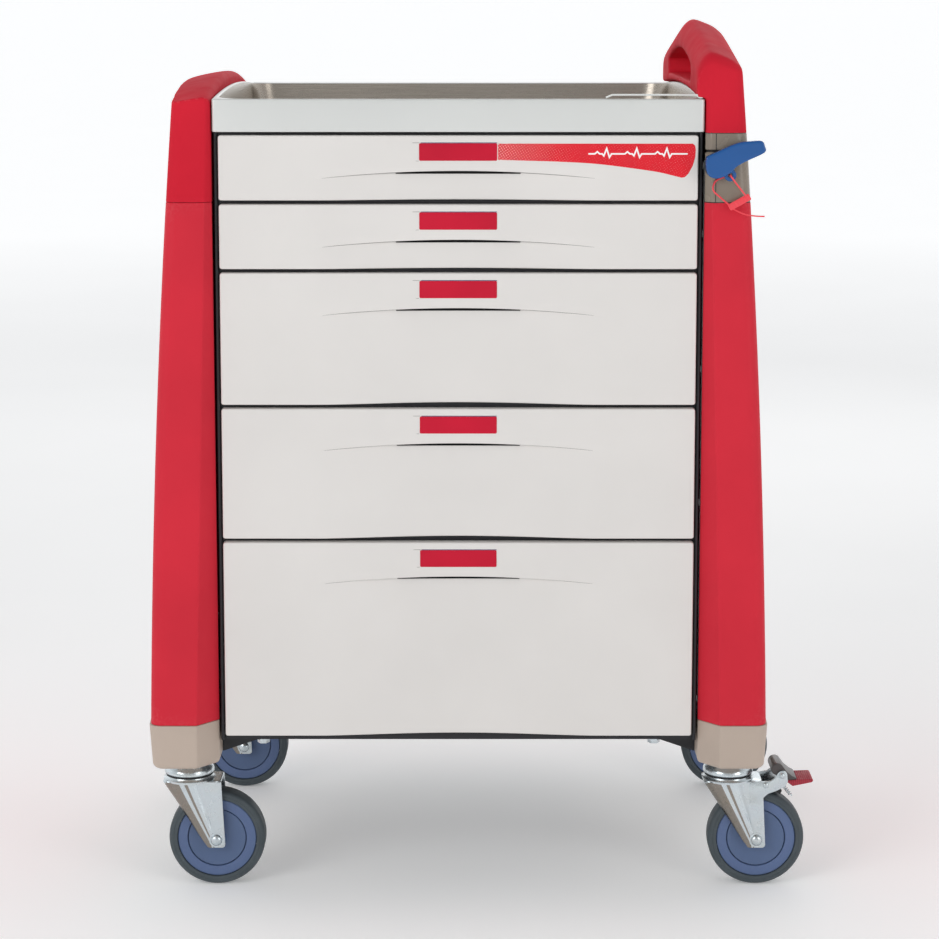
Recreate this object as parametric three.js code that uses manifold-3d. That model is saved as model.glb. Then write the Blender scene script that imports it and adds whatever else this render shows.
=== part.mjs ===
// A hospital crash cart: a five-drawer steel cabinet on four swivel casters, between two
// moulded side panels, with a push handle on the right and a tray-like worktop.
// Millimetres, +Z up, drawers open towards -Y, +X to the right of someone facing the drawers.
// Pieces are drawn about the cabinet's centre plane, x = 0, with the floor at z = 0; the
// exported group is then moved sideways so that its origin is the centre of its own footprint.

import * as THREE from "three";
import { mergeVertices } from "three/addons/utils/BufferGeometryUtils.js";
import Module from "manifold-3d";

const wasm = await Module();
wasm.setup();

// ---------------------------------------------------------------- driving dimensions

const GAP = 0.3; // between two pieces that touch
const RUNNING = 1; // between pieces that slide past each other

// Cabinet
const CABINET_WIDTH = 604.4;
const CABINET_FRONT = -270; // front face of the bezel
const CABINET_REAR = 280;
const SHEET = 1.5; // cabinet sheet steel
const MODULE_HEIGHT = 85; // one drawer unit
const DRAWER_UNITS = [1, 1, 2, 2, 3]; // from the top down

// Base and casters
const WHEEL_DIAMETER = 125;
const TYRE_WIDTH = 32;
const CASTER_HEIGHT = 178; // floor to the underside of the bumpers
const CASTER_OUT = 47.8; // cabinet side to the swivel axes
const CASTER_Y = 210; // swivel axes, in front of and behind the middle
const CASTER_TRAIL = 36; // swivel axis to axle
const BASE_HEIGHT = 36; // underside of the bumpers to the drawer stack
const BASE_PAN = 3; // thickness of the pan under the cabinet
const OUTRIGGER_WIDTH = 50;
const OUTRIGGER_TAPER = 70; // how far it reaches in under the cabinet
const STEM_RADIUS = 8; // caster stem, in the outrigger
const BOSS_RADIUS = 15; // caster boss, in the bumper's floor

// Side panels and bumpers
const PANEL_STAND_OFF = 1.8; // cabinet side to the panels
const PANEL_WALL = 4;
const PANEL_FOOT = 86.8; // cabinet side to the panels' outer faces, at their feet
const PANEL_LEAN = 0.018; // how fast the sides close in with height
const PANEL_BOW = 3.7e-5; // and how much faster higher up
const SIDE_CROWN = 7; // how far the sides bulge at mid-depth
const SIDE_DEPTH_FOOT = 610;
const SIDE_DEPTH_TOP = 580;
const CHAMFER_FOOT = [26, 30]; // inner front chamfer at the foot: width, depth
const CHAMFER_TOP = [5, 5]; // and at the worktop
const CORNER_RADIUS = 15; // outer corners of panels and bumpers
const BUMPER_HEIGHT = 57;

// Worktop, cap and handle
const WORKTOP_LIP = 40.2; // height of the worktop's front
const WORKTOP_CROWN = 9; // how far its sides rise at mid-depth
const WORKTOP_FRONT = -287;
const WORKTOP_RIM = 10; // thickness of the rim round the recess
const WORKTOP_FLOOR = 5;
const WORKTOP_CORNER = 34; // corner radius of the recess
const CAP_PEAK = 25; // cap's ridge above the worktop's lip
const CAP_DROP = 23; // cap's ridge, mid-depth to front
const HANDLE_PEAK = 93.7; // handle's ridge above the worktop's lip
const HANDLE_DROP = 39.5; // handle's ridge, mid-depth to front
const HANDLE_INWARD = 14; // how far the grip leans over the worktop
const GRIP_LENGTH = 380; // hand opening
const GRIP_FLOOR = 18; // its bottom above the worktop's lip
const GRIP_HEIGHT = 39; // its height in the middle
const GRIP_END_HEIGHT = 20; // and at its ends

// Drawers
const FRONT_THICKNESS = 14.7;
const FRONT_MARGIN = 6.9; // cabinet side to the drawer fronts' ends
const FRONT_SPACING = 5; // between one drawer front and the next
const TRAY_SHEET = 2;
const TRAY_MARGIN = 21.2; // cabinet side to the trays' sides
const TRAY_DEPTH = 520;
const LABEL = { width: 96, height: 21.5, below: 9.5, thickness: 1.6, recess: 1.3 };
const PULL = { width: 154, depth: 11, below: 43.5, height: 15 };
const RUNNER = { rise: 28, half: 6, lip: 3, web: 2.9, depth: 498 };

// Central lock
const LEVER_OUT = 14.8; // cabinet side to the lever's pivot
const LEVER_BELOW = 41; // top of the drawer stack to the lever's pivot
const LEVER_PLANE = -296; // back face of the lever
const LEVER_THICKNESS = 13;
const LOCK_LIFT = 14; // travel of the lock bar
const SPINDLE_RADIUS = 6;

// ---------------------------------------------------------------- derived sizes

const WHEEL_RADIUS = WHEEL_DIAMETER / 2;
const HALF_CABINET = CABINET_WIDTH / 2;
const PANEL_INNER_X = HALF_CABINET + PANEL_STAND_OFF;
const PANEL_FOOT_WIDTH = HALF_CABINET + PANEL_FOOT;
const CASTER_X = HALF_CABINET + CASTER_OUT; // swivel axes, either side of the centre plane
const FRONT_WIDTH = CABINET_WIDTH - 2 * FRONT_MARGIN;
const TRAY_WIDTH = CABINET_WIDTH - 2 * TRAY_MARGIN;
const STACK_BOTTOM = CASTER_HEIGHT + BASE_HEIGHT;
const STACK_TOP = STACK_BOTTOM + MODULE_HEIGHT * DRAWER_UNITS.reduce((a, b) => a + b, 0);
const LEVER_PIVOT = [HALF_CABINET + LEVER_OUT, STACK_TOP - LEVER_BELOW]; // x, z
const DECK_TOP = STACK_TOP + SHEET;
const WORKTOP_BOTTOM = DECK_TOP + GAP;
const LIP_TOP = WORKTOP_BOTTOM + WORKTOP_LIP;
const BUMPER_TOP = CASTER_HEIGHT + BUMPER_HEIGHT;
const BAND_TOP = STACK_TOP + 0.6;
const BAND_BOTTOM = BAND_TOP - MODULE_HEIGHT;
const FRONT_PLANE = CABINET_FRONT - GAP - FRONT_THICKNESS; // the drawer fronts' faces
const BEZEL_DEPTH = 8;
const INSIDE_FRONT = CABINET_FRONT + BEZEL_DEPTH + GAP;

// ---------------------------------------------------------------- shape helpers

// A closed geometry through rings of [x, y, z] points, with flat ends.
// flat picks the two coordinates in which a ring is a simple outline.
function loft(rings, flat) {
  const outline = rings[0].map((p) => new THREE.Vector2(p[flat[0]], p[flat[1]]));
  if (THREE.ShapeUtils.area(outline) < 0) {
    return loft(
      rings.map((ring) => ring.toReversed()),
      flat,
    );
  }
  const count = outline.length;
  const index = [];
  for (let r = 0; r + 1 < rings.length; r++) {
    for (let i = 0; i < count; i++) {
      const a = r * count + i;
      const b = r * count + ((i + 1) % count);
      index.push(a, b, b + count, a, b + count, a + count);
    }
  }
  const last = (rings.length - 1) * count;
  for (const [a, b, c] of THREE.ShapeUtils.triangulateShape(outline, [])) {
    index.push(a, c, b);
    index.push(last + a, last + b, last + c);
  }
  const geometry = new THREE.BufferGeometry();
  geometry.setAttribute("position", new THREE.Float32BufferAttribute(rings.flat(2), 3));
  geometry.setIndex(index);
  return geometry;
}

// A solid from a closed geometry, whichever way its faces were wound.
function solid(geometry) {
  const bare = new THREE.BufferGeometry();
  bare.setAttribute("position", geometry.getAttribute("position"));
  bare.setIndex(geometry.index);
  const merged = mergeVertices(bare, 1e-4);
  const vertProperties = merged.attributes.position.array;
  let triVerts = new Uint32Array(merged.index.array);
  const build = () => new wasm.Manifold(new wasm.Mesh({ numProp: 3, vertProperties, triVerts }));
  const made = build();
  if (made.volume() >= 0) return made;
  triVerts = triVerts.toReversed();
  return build();
}

function join(...solids) {
  return solids.reduce((whole, one) => whole.add(one));
}

function cut(whole, ...tools) {
  return tools.reduce((left, tool) => left.subtract(tool), whole);
}

function toGeometry(made) {
  const mesh = made.getMesh();
  const geometry = new THREE.BufferGeometry();
  geometry.setAttribute("position", new THREE.BufferAttribute(mesh.vertProperties, 3));
  geometry.setIndex(new THREE.BufferAttribute(mesh.triVerts, 1));
  return geometry;
}

function mirrored(made) {
  return solid(toGeometry(made).scale(-1, 1, 1));
}

function box(x0, x1, y0, y1, z0, z1) {
  const geometry = new THREE.BoxGeometry(x1 - x0, y1 - y0, z1 - z0);
  return solid(geometry.translate((x0 + x1) / 2, (y0 + y1) / 2, (z0 + z1) / 2));
}

// An outline of [u, v] points extruded along one axis, from low to high.
function prism(axis, outline, low, high) {
  const place = {
    x: (u, v, w) => [w, u, v],
    y: (u, v, w) => [u, w, v],
    z: (u, v, w) => [u, v, w],
  }[axis];
  const flat = { x: [1, 2], y: [0, 2], z: [0, 1] }[axis];
  const rings = [low, high].map((w) => outline.map(([u, v]) => place(u, v, w)));
  return solid(loft(rings, flat));
}

// A solid of revolution about a line along Y or Z, from [radius, along] points that
// close on themselves or start and end on the axis.
function turned(axis, profile, at, segments = 36) {
  const points = profile.map(([r, h]) => new THREE.Vector2(r, h));
  if (profile[0][0] > 0) points.push(points[0].clone());
  const geometry = new THREE.LatheGeometry(points, segments);
  geometry.rotateY(Math.PI / segments);
  if (axis === "z") geometry.rotateX(Math.PI / 2);
  return solid(geometry.translate(...at));
}

function rod(axis, radius, low, high, at, segments = 16) {
  const profile = [[0, low], [radius, low], [radius, high], [0, high]];
  return turned(axis, profile, at, segments);
}

// Points on an arc about (u, v), from one angle in degrees to another.
function arc(u, v, radius, from, to, steps) {
  return Array.from({ length: steps + 1 }, (_, i) => {
    const angle = THREE.MathUtils.degToRad(from + ((to - from) * i) / steps);
    return [u + radius * Math.cos(angle), v + radius * Math.sin(angle)];
  });
}

function roundedRectangle(u0, u1, v0, v1, radius, steps = 3) {
  return [
    ...arc(u1 - radius, v1 - radius, radius, 0, 90, steps),
    ...arc(u0 + radius, v1 - radius, radius, 90, 180, steps),
    ...arc(u0 + radius, v0 + radius, radius, 180, 270, steps),
    ...arc(u1 - radius, v0 + radius, radius, 270, 360, steps),
  ];
}

function between(low, high, steps) {
  return Array.from({ length: steps + 1 }, (_, i) => low + ((high - low) * i) / steps);
}

// ---------------------------------------------------------------- the cart

const cart = new THREE.Group();

const FINISH = {
  red: { color: 0xc5283a, roughness: 0.45, metalness: 0 },
  beige: { color: 0xb8aa9c, roughness: 0.55, metalness: 0 },
  taupe: { color: 0x948a7e, roughness: 0.5, metalness: 0 },
  black: { color: 0x0c0c12, roughness: 0.5, metalness: 0.1 },
  white: { color: 0xdedbd9, roughness: 0.4, metalness: 0 },
  grey: { color: 0xd8dcdc, roughness: 0.3, metalness: 0.3 },
  steel: { color: 0xc6ced2, roughness: 0.3, metalness: 0.9 },
  blue: { color: 0x1c6ab0, roughness: 0.4, metalness: 0 },
  coral: { color: 0xee4652, roughness: 0.4, metalness: 0 },
  tyre: { color: 0x4b5358, roughness: 0.7, metalness: 0 },
  hub: { color: 0x5c709a, roughness: 0.5, metalness: 0 },
};

const materials = {};
for (const [name, finish] of Object.entries(FINISH)) {
  materials[name] = new THREE.MeshStandardMaterial(finish);
}

function add(name, made, material, parent = cart) {
  const geometry = toGeometry(made);
  geometry.computeVertexNormals();
  const mesh = new THREE.Mesh(geometry, materials[material]);
  mesh.name = name;
  parent.add(mesh);
}

// ---------------------------------------------------------------- base

// One outrigger on the right: it tapers from the bumper to under the cabinet.
function outrigger(y) {
  const bottom = CASTER_HEIGHT + PANEL_WALL + 2 * GAP;
  const top = STACK_BOTTOM - GAP;
  const outline = [
    [HALF_CABINET - OUTRIGGER_TAPER, top],
    [HALF_CABINET - OUTRIGGER_TAPER, top - BASE_PAN - 4],
    [HALF_CABINET, bottom],
    [CASTER_X + 28, bottom],
    [CASTER_X + 28, top],
  ];
  return prism("y", outline, y - OUTRIGGER_WIDTH / 2, y + OUTRIGGER_WIDTH / 2);
}

function baseFrame() {
  const pan = box(
    -HALF_CABINET,
    HALF_CABINET,
    INSIDE_FRONT,
    CABINET_REAR,
    STACK_BOTTOM - GAP - BASE_PAN,
    STACK_BOTTOM - GAP,
  );
  let frame = pan;
  for (const y of [-CASTER_Y, CASTER_Y]) {
    frame = join(frame, outrigger(y), mirrored(outrigger(y)));
  }
  for (const x of [-CASTER_X, CASTER_X]) {
    for (const y of [-CASTER_Y, CASTER_Y]) {
      frame = cut(frame, rod("z", STEM_RADIUS + GAP, CASTER_HEIGHT, STACK_BOTTOM + 5, [x, y, 0]));
    }
  }
  return frame;
}

add("base_frame", baseFrame(), "black");

// ---------------------------------------------------------------- side pieces

// How far up the side a height is: 0 at the panels' feet, 1 at the worktop's lip.
function rise(z) {
  return (z - BUMPER_TOP) / (LIP_TOP - BUMPER_TOP);
}

function sideHalfWidth(z) {
  const above = z - BUMPER_TOP;
  return PANEL_FOOT_WIDTH - PANEL_LEAN * above - PANEL_BOW * above * above;
}

function sideHalfDepth(z) {
  return THREE.MathUtils.lerp(SIDE_DEPTH_FOOT, SIDE_DEPTH_TOP, rise(z)) / 2;
}

// Outline in plan of the right-hand side pieces at height z, drawn in by inset.
function sidePlan(z, innerX, inset = 0, halfWidth = sideHalfWidth(z)) {
  const share = Math.min(Math.max(rise(z), 0), 1);
  const chamferWidth = THREE.MathUtils.lerp(CHAMFER_FOOT[0], CHAMFER_TOP[0], share);
  const chamferDepth = THREE.MathUtils.lerp(CHAMFER_FOOT[1], CHAMFER_TOP[1], share);
  const depth = sideHalfDepth(z) - inset;
  const width = halfWidth - inset;
  const radius = CORNER_RADIUS - inset;
  const straight = depth - radius;
  const front = [
    [innerX, -depth + chamferDepth],
    [PANEL_INNER_X + chamferWidth, -depth],
    ...arc(width - radius, -straight, radius, -90, 0, 3),
  ];
  const side = between(-straight, straight, 6)
    .slice(1, -1)
    .map((y) => [width + SIDE_CROWN * (1 - (y / straight) ** 2), y]);
  const rear = front.map(([x, y]) => [x, -y]).reverse();
  return [...front, ...side, ...rear];
}

function sideLoft(levels, innerX, inset, halfWidth) {
  const rings = levels.map((z) => {
    const width = halfWidth ? halfWidth(z) : undefined;
    return sidePlan(z, innerX, inset, width).map(([x, y]) => [x, y, z]);
  });
  return solid(loft(rings, [0, 1]));
}

// A right-hand shell between two heights, open at both ends and towards the cabinet.
function sideShell(bottom, top, steps) {
  const outer = sideLoft(between(bottom, top, steps), PANEL_INNER_X, 0);
  const hollow = sideLoft(between(bottom - 1, top + 1, steps), PANEL_INNER_X - 20, PANEL_WALL);
  return cut(outer, hollow);
}

const SEAM = GAP / 2;
const sidePanel = sideShell(BUMPER_TOP + SEAM, BAND_BOTTOM - SEAM, 5);
add("right_side_panel", sidePanel, "red");
add("left_side_panel", mirrored(sidePanel), "red");

// The band behind the lock lever, with a hole for its spindle.
const band = sideShell(BAND_BOTTOM + SEAM, BAND_TOP - SEAM, 1);
const spindleHole = rod("y", SPINDLE_RADIUS + GAP, LEVER_PLANE, CABINET_FRONT, [
  LEVER_PIVOT[0],
  0,
  LEVER_PIVOT[1],
]);
add("lock_band", cut(band, spindleHole), "taupe");

// What lies under an arched ridge that runs from front to back. crossSection lists
// [x, depth below the ridge] points, from the cabinet outwards.
function underRidge(ridge, crossSection, bottom) {
  const reach = SIDE_DEPTH_FOOT / 2 + 10;
  const first = crossSection[0][0];
  const last = crossSection.at(-1)[0];
  const rings = between(-reach, reach, 16).map((y) => [
    [first, y, bottom],
    ...crossSection.map(([x, below]) => [x, y, ridge(y) - below]),
    [last, y, bottom],
  ]);
  return solid(loft(rings, [0, 2]));
}

// Left cap, drawn on the right and mirrored.
function topCap() {
  const bottom = BAND_BOTTOM + SEAM;
  const top = LIP_TOP + CAP_PEAK + 5;
  const outer = sideLoft(between(bottom, top, 3), PANEL_INNER_X, 0);
  const ridge = (y) => LIP_TOP + CAP_PEAK - CAP_DROP * (y / (SIDE_DEPTH_TOP / 2)) ** 2;
  const across = [
    [PANEL_INNER_X - 10, 22],
    [PANEL_INNER_X, 7],
    [PANEL_INNER_X + 3, 2.5],
    [PANEL_INNER_X + 9, 0],
    [PANEL_INNER_X + 30, 1.5],
    [PANEL_INNER_X + 44, 5],
    [PANEL_INNER_X + 51, 12],
    [PANEL_INNER_X + 70, 45],
  ];
  const shaped = outer.intersect(underRidge(ridge, across, bottom - 5));
  const openBelow = sideLoft([bottom - 1, STACK_TOP], PANEL_INNER_X - 20, PANEL_WALL);
  const hollow = sideLoft([STACK_TOP - 1, LIP_TOP - 8], PANEL_INNER_X + PANEL_WALL, PANEL_WALL);
  return cut(shaped, openBelow, hollow);
}

add("left_top_cap", mirrored(topCap()), "red");

// The grip's inner face leans over the worktop above its rim.
function handleInnerX(z) {
  const start = LIP_TOP + WORKTOP_CROWN + 4;
  const share = (z - start) / (LIP_TOP + HANDLE_PEAK - start);
  return PANEL_INNER_X - HANDLE_INWARD * Math.max(share, 0);
}

function gripOpening() {
  const floor = LIP_TOP + GRIP_FLOOR;
  const half = GRIP_LENGTH / 2;
  const ceiling = between(half, -half, 12).map((y) => {
    const rise = (GRIP_HEIGHT - GRIP_END_HEIGHT) * (1 - (y / half) ** 2);
    return [y, floor + GRIP_END_HEIGHT + rise];
  });
  const outline = [
    [-half, floor + 6],
    [-half + 6, floor],
    [half - 6, floor],
    [half, floor + 6],
    ...ceiling,
  ];
  return prism("x", outline, PANEL_INNER_X - 40, PANEL_FOOT_WIDTH);
}

function handleHousing() {
  const bottom = BAND_TOP + SEAM;
  const top = LIP_TOP + HANDLE_PEAK + 6;
  const rings = between(bottom, top, 8).map((z) =>
    sidePlan(z, handleInnerX(z)).map(([x, y]) => [x, y, z]),
  );
  const half = SIDE_DEPTH_TOP / 2;
  const soft = 25; // half-length over which the peak is rounded
  const along = (y) => (Math.hypot(y, soft) - soft) / (Math.hypot(half, soft) - soft);
  const ridge = (y) => LIP_TOP + HANDLE_PEAK - HANDLE_DROP * along(y);
  const across = [
    [PANEL_INNER_X - 34, 40],
    [PANEL_INNER_X - 14, 13],
    [PANEL_INNER_X - 7, 5],
    [PANEL_INNER_X + 5.6, 0],
    [PANEL_INNER_X + 21, 4.7],
    [PANEL_INNER_X + 38.6, 14],
    [PANEL_INNER_X + 48, 27],
    [PANEL_INNER_X + 58, 60],
  ];
  const shaped = solid(loft(rings, [0, 1])).intersect(underRidge(ridge, across, bottom - 5));
  const hollow = sideLoft(
    [bottom - 1, LIP_TOP + GRIP_FLOOR - PANEL_WALL],
    PANEL_INNER_X + PANEL_WALL,
    PANEL_WALL,
  );
  return cut(shaped, hollow, gripOpening());
}

add("handle_housing", handleHousing(), "red");

// Bumpers: troughs that carry the panels and hide the outriggers.
function bumper() {
  const bottom = CASTER_HEIGHT;
  const top = BUMPER_TOP - SEAM;
  const width = (z) => PANEL_FOOT_WIDTH + 2 - (4 * (top - z)) / BUMPER_HEIGHT;
  const outer = sideLoft([bottom, bottom + 6, top], PANEL_INNER_X, 0, width);
  const hollow = sideLoft(
    [bottom + PANEL_WALL, top + 1],
    PANEL_INNER_X + PANEL_WALL,
    PANEL_WALL,
    width,
  );
  let made = cut(outer, hollow);
  for (const y of [-CASTER_Y, CASTER_Y]) {
    const window = box(
      PANEL_INNER_X - 1,
      PANEL_INNER_X + PANEL_WALL + 1,
      y - OUTRIGGER_WIDTH / 2 - GAP,
      y + OUTRIGGER_WIDTH / 2 + GAP,
      bottom + PANEL_WALL,
      top + 1,
    );
    const bossHole = rod("z", BOSS_RADIUS + GAP, bottom - 1, bottom + PANEL_WALL + 1, [
      CASTER_X,
      y,
      0,
    ]);
    made = cut(made, window, bossHole);
  }
  return made;
}

add("right_bumper", bumper(), "beige");
add("left_bumper", mirrored(bumper()), "beige");

// ---------------------------------------------------------------- cabinet

// The drawers' places: each one's lowest and highest point within the stack.
const drawers = [];
let stackLevel = STACK_TOP;
for (const units of DRAWER_UNITS) {
  const top = stackLevel;
  stackLevel -= units * MODULE_HEIGHT;
  drawers.push({ bottom: stackLevel, top });
}

const RUNNER_FRONT = CABINET_FRONT + 34;
const RUNNER_OUTER = HALF_CABINET - SHEET - 2 * GAP; // back of the fixed channel
const MEMBER_OUTER = RUNNER_OUTER - RUNNER.web - RUNNING; // outer face of the tray's member

function runnerHeight(drawer) {
  return drawer.bottom + RUNNER.rise;
}

const LOCK_BAR = { x: PANEL_INNER_X + 0.6, y: CABINET_FRONT + 12, width: 4, depth: 16 };
const TAB = { height: 8, depth: 6, above: 40 }; // above a drawer's bottom, at rest

function wall() {
  return box(
    HALF_CABINET - SHEET,
    HALF_CABINET,
    INSIDE_FRONT,
    CABINET_REAR,
    STACK_BOTTOM,
    STACK_TOP - GAP,
  );
}

// The right wall has a window for each tab of the lock bar.
function lockWall() {
  return drawers.reduce((left, drawer) => {
    const low = drawer.bottom + TAB.above - RUNNING;
    const window = box(
      HALF_CABINET - SHEET - 1,
      HALF_CABINET + 1,
      LOCK_BAR.y - RUNNING,
      LOCK_BAR.y + TAB.depth + RUNNING,
      low,
      low + TAB.height + LOCK_LIFT + 2 * RUNNING,
    );
    return cut(left, window);
  }, wall());
}

add("cabinet_left_wall", mirrored(wall()), "white");
add("cabinet_right_wall", lockWall(), "white");

const INSIDE_HALF = HALF_CABINET - SHEET - GAP;
add(
  "cabinet_back_wall",
  box(
    -INSIDE_HALF,
    INSIDE_HALF,
    CABINET_REAR - SHEET,
    CABINET_REAR,
    STACK_BOTTOM,
    STACK_TOP - GAP,
  ),
  "white",
);
add(
  "cabinet_top_deck",
  box(-HALF_CABINET, HALF_CABINET, INSIDE_FRONT, CABINET_REAR, STACK_TOP, DECK_TOP),
  "white",
);

// The dark frame that shows around and between the drawer fronts.
const BEZEL_RAIL = 6; // half-height of the rails between drawers
const BEZEL_SIDE = 12;
const BEZEL_FOOT = 6; // how far it reaches down over the base

function frontBezel() {
  const back = CABINET_FRONT + BEZEL_DEPTH;
  const plate = box(
    -HALF_CABINET,
    HALF_CABINET,
    CABINET_FRONT,
    back,
    STACK_BOTTOM - BEZEL_FOOT,
    DECK_TOP,
  );
  return drawers.reduce((left, drawer) => {
    const window = box(
      -HALF_CABINET + BEZEL_SIDE,
      HALF_CABINET - BEZEL_SIDE,
      CABINET_FRONT - 1,
      back + 1,
      drawer.bottom + BEZEL_RAIL,
      drawer.top - BEZEL_RAIL,
    );
    const runners = box(
      -MEMBER_OUTER - RUNNING,
      MEMBER_OUTER + RUNNING,
      CABINET_FRONT - 1,
      back + 1,
      runnerHeight(drawer) - RUNNER.half - RUNNING,
      runnerHeight(drawer) + RUNNER.half + RUNNING,
    );
    return cut(left, window, runners);
  }, plate);
}

add("front_bezel", frontBezel(), "black");

// ---------------------------------------------------------------- worktop

// The rim is highest at mid-depth; its front is the lip.
function worktopTray() {
  const middle = (WORKTOP_FRONT + CABINET_REAR) / 2;
  const half = (CABINET_REAR - WORKTOP_FRONT) / 2;
  const crown = between(CABINET_REAR, WORKTOP_FRONT, 12).map((y) => [
    y,
    LIP_TOP + WORKTOP_CROWN * (1 - ((y - middle) / half) ** 2),
  ]);
  const outline = [[WORKTOP_FRONT, WORKTOP_BOTTOM], [CABINET_REAR, WORKTOP_BOTTOM], ...crown];
  const block = prism("x", outline, -HALF_CABINET, HALF_CABINET);
  const recess = prism(
    "z",
    roundedRectangle(
      -HALF_CABINET + WORKTOP_RIM,
      HALF_CABINET - WORKTOP_RIM,
      WORKTOP_FRONT + WORKTOP_RIM,
      CABINET_REAR - WORKTOP_RIM,
      WORKTOP_CORNER,
    ),
    WORKTOP_BOTTOM + WORKTOP_FLOOR,
    LIP_TOP + WORKTOP_CROWN + 5,
  );
  return cut(block, recess);
}

add("worktop_tray", worktopTray(), "grey");

// A thin raised strip on the front lip's right end.
const LEDGE = { width: 118, height: 6, thickness: 1.8, depth: 9, foot: 8 };

function worktopLedge() {
  const right = HALF_CABINET - 3;
  const left = right - LEDGE.width;
  const foot = LIP_TOP + GAP + 0.6;
  const top = LIP_TOP + LEDGE.height;
  const outline = [
    [left, foot],
    [left + LEDGE.foot, top - LEDGE.thickness],
    [right - LEDGE.foot, top - LEDGE.thickness],
    [right - LEDGE.foot / 2, foot],
    [right, foot],
    [right, top],
    [left + LEDGE.foot, top],
    [left, foot + LEDGE.thickness],
  ];
  return prism("y", outline, WORKTOP_FRONT, WORKTOP_FRONT + LEDGE.depth);
}

add("worktop_ledge", worktopLedge(), "grey");

// ---------------------------------------------------------------- drawer runners

// Fixed channels for all the drawers, on two uprights.
function runnerRack() {
  const rear = RUNNER_FRONT + RUNNER.depth;
  const web = RUNNER_OUTER - RUNNER.web;
  const inner = TRAY_WIDTH / 2 + RUNNING;
  const upright = (y) =>
    box(web, RUNNER_OUTER, y, y + 20, STACK_BOTTOM + 5, STACK_TOP - 5);
  return drawers.reduce(
    (left, drawer) => {
      const z = runnerHeight(drawer);
      const opening = RUNNER.half + RUNNING;
      const channel = box(
        inner,
        RUNNER_OUTER,
        RUNNER_FRONT,
        rear,
        z - opening - RUNNER.lip,
        z + opening + RUNNER.lip,
      );
      const groove = box(inner - 1, web, RUNNER_FRONT - 1, rear + 1, z - opening, z + opening);
      return join(left, cut(channel, groove));
    },
    join(upright(RUNNER_FRONT), upright(rear - 20)),
  );
}

add("right_runner_rack", runnerRack(), "steel");
add("left_runner_rack", mirrored(runnerRack()), "steel");

// ---------------------------------------------------------------- drawers

// An open-topped tray with a runner member on each side and a catch for the lock bar.
function drawerTray(drawer) {
  const half = TRAY_WIDTH / 2;
  const front = FRONT_PLANE + FRONT_THICKNESS + GAP;
  const rear = front + TRAY_DEPTH;
  const low = drawer.bottom + BEZEL_RAIL + 4;
  const high = drawer.top - BEZEL_RAIL - 8;
  const shell = cut(
    box(-half, half, front, rear, low, high),
    box(
      -half + TRAY_SHEET,
      half - TRAY_SHEET,
      front + TRAY_SHEET,
      rear - TRAY_SHEET,
      low + TRAY_SHEET,
      high + 1,
    ),
  );
  const z = runnerHeight(drawer);
  const member = box(
    half - 1,
    MEMBER_OUTER,
    RUNNER_FRONT,
    rear - 12,
    z - RUNNER.half,
    z + RUNNER.half,
  );
  const catchLow = drawer.bottom + TAB.above + LOCK_LIFT;
  const lockCatch = box(
    half - 1,
    HALF_CABINET - BEZEL_SIDE - RUNNING,
    LOCK_BAR.y + TAB.depth + RUNNING,
    LOCK_BAR.y + TAB.depth + RUNNING + 5,
    catchLow,
    Math.min(catchLow + TAB.height, high),
  );
  return join(shell, member, mirrored(member), lockCatch);
}

function drawerFront(drawer) {
  const half = FRONT_WIDTH / 2;
  const back = FRONT_PLANE + FRONT_THICKNESS;
  const low = drawer.bottom + FRONT_SPACING / 2;
  const high = drawer.top - FRONT_SPACING / 2;
  const plate = prism("y", roundedRectangle(-half, half, low, high, 3, 2), FRONT_PLANE, back);
  const labelTop = high - LABEL.below;
  const recess = box(
    -LABEL.width / 2 - GAP,
    LABEL.width / 2 + GAP,
    FRONT_PLANE - 1,
    FRONT_PLANE + LABEL.recess,
    labelTop - LABEL.height - GAP,
    labelTop + GAP,
  );
  const pullTop = high - PULL.below;
  const pull = box(
    -PULL.width / 2,
    PULL.width / 2,
    FRONT_PLANE - 1,
    FRONT_PLANE + PULL.depth,
    Math.max(pullTop - PULL.height, low + 4),
    pullTop,
  );
  return cut(plate, recess, pull);
}

function drawerLabel(drawer) {
  const top = drawer.top - FRONT_SPACING / 2 - LABEL.below;
  const back = FRONT_PLANE + LABEL.recess - GAP;
  return box(
    -LABEL.width / 2,
    LABEL.width / 2,
    back - LABEL.thickness,
    back,
    top - LABEL.height,
    top,
  );
}

drawers.forEach((drawer, i) => {
  const name = `drawer_${i + 1}`;
  add(`${name}_tray`, drawerTray(drawer), "grey");
  add(`${name}_front`, drawerFront(drawer), "white");
  add(`${name}_label`, drawerLabel(drawer), "red");
});

// ---------------------------------------------------------------- central lock

const LUG = { x: 14, z: -7, hole: 2.6, thickness: 5 }; // from the lever's pivot

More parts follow.
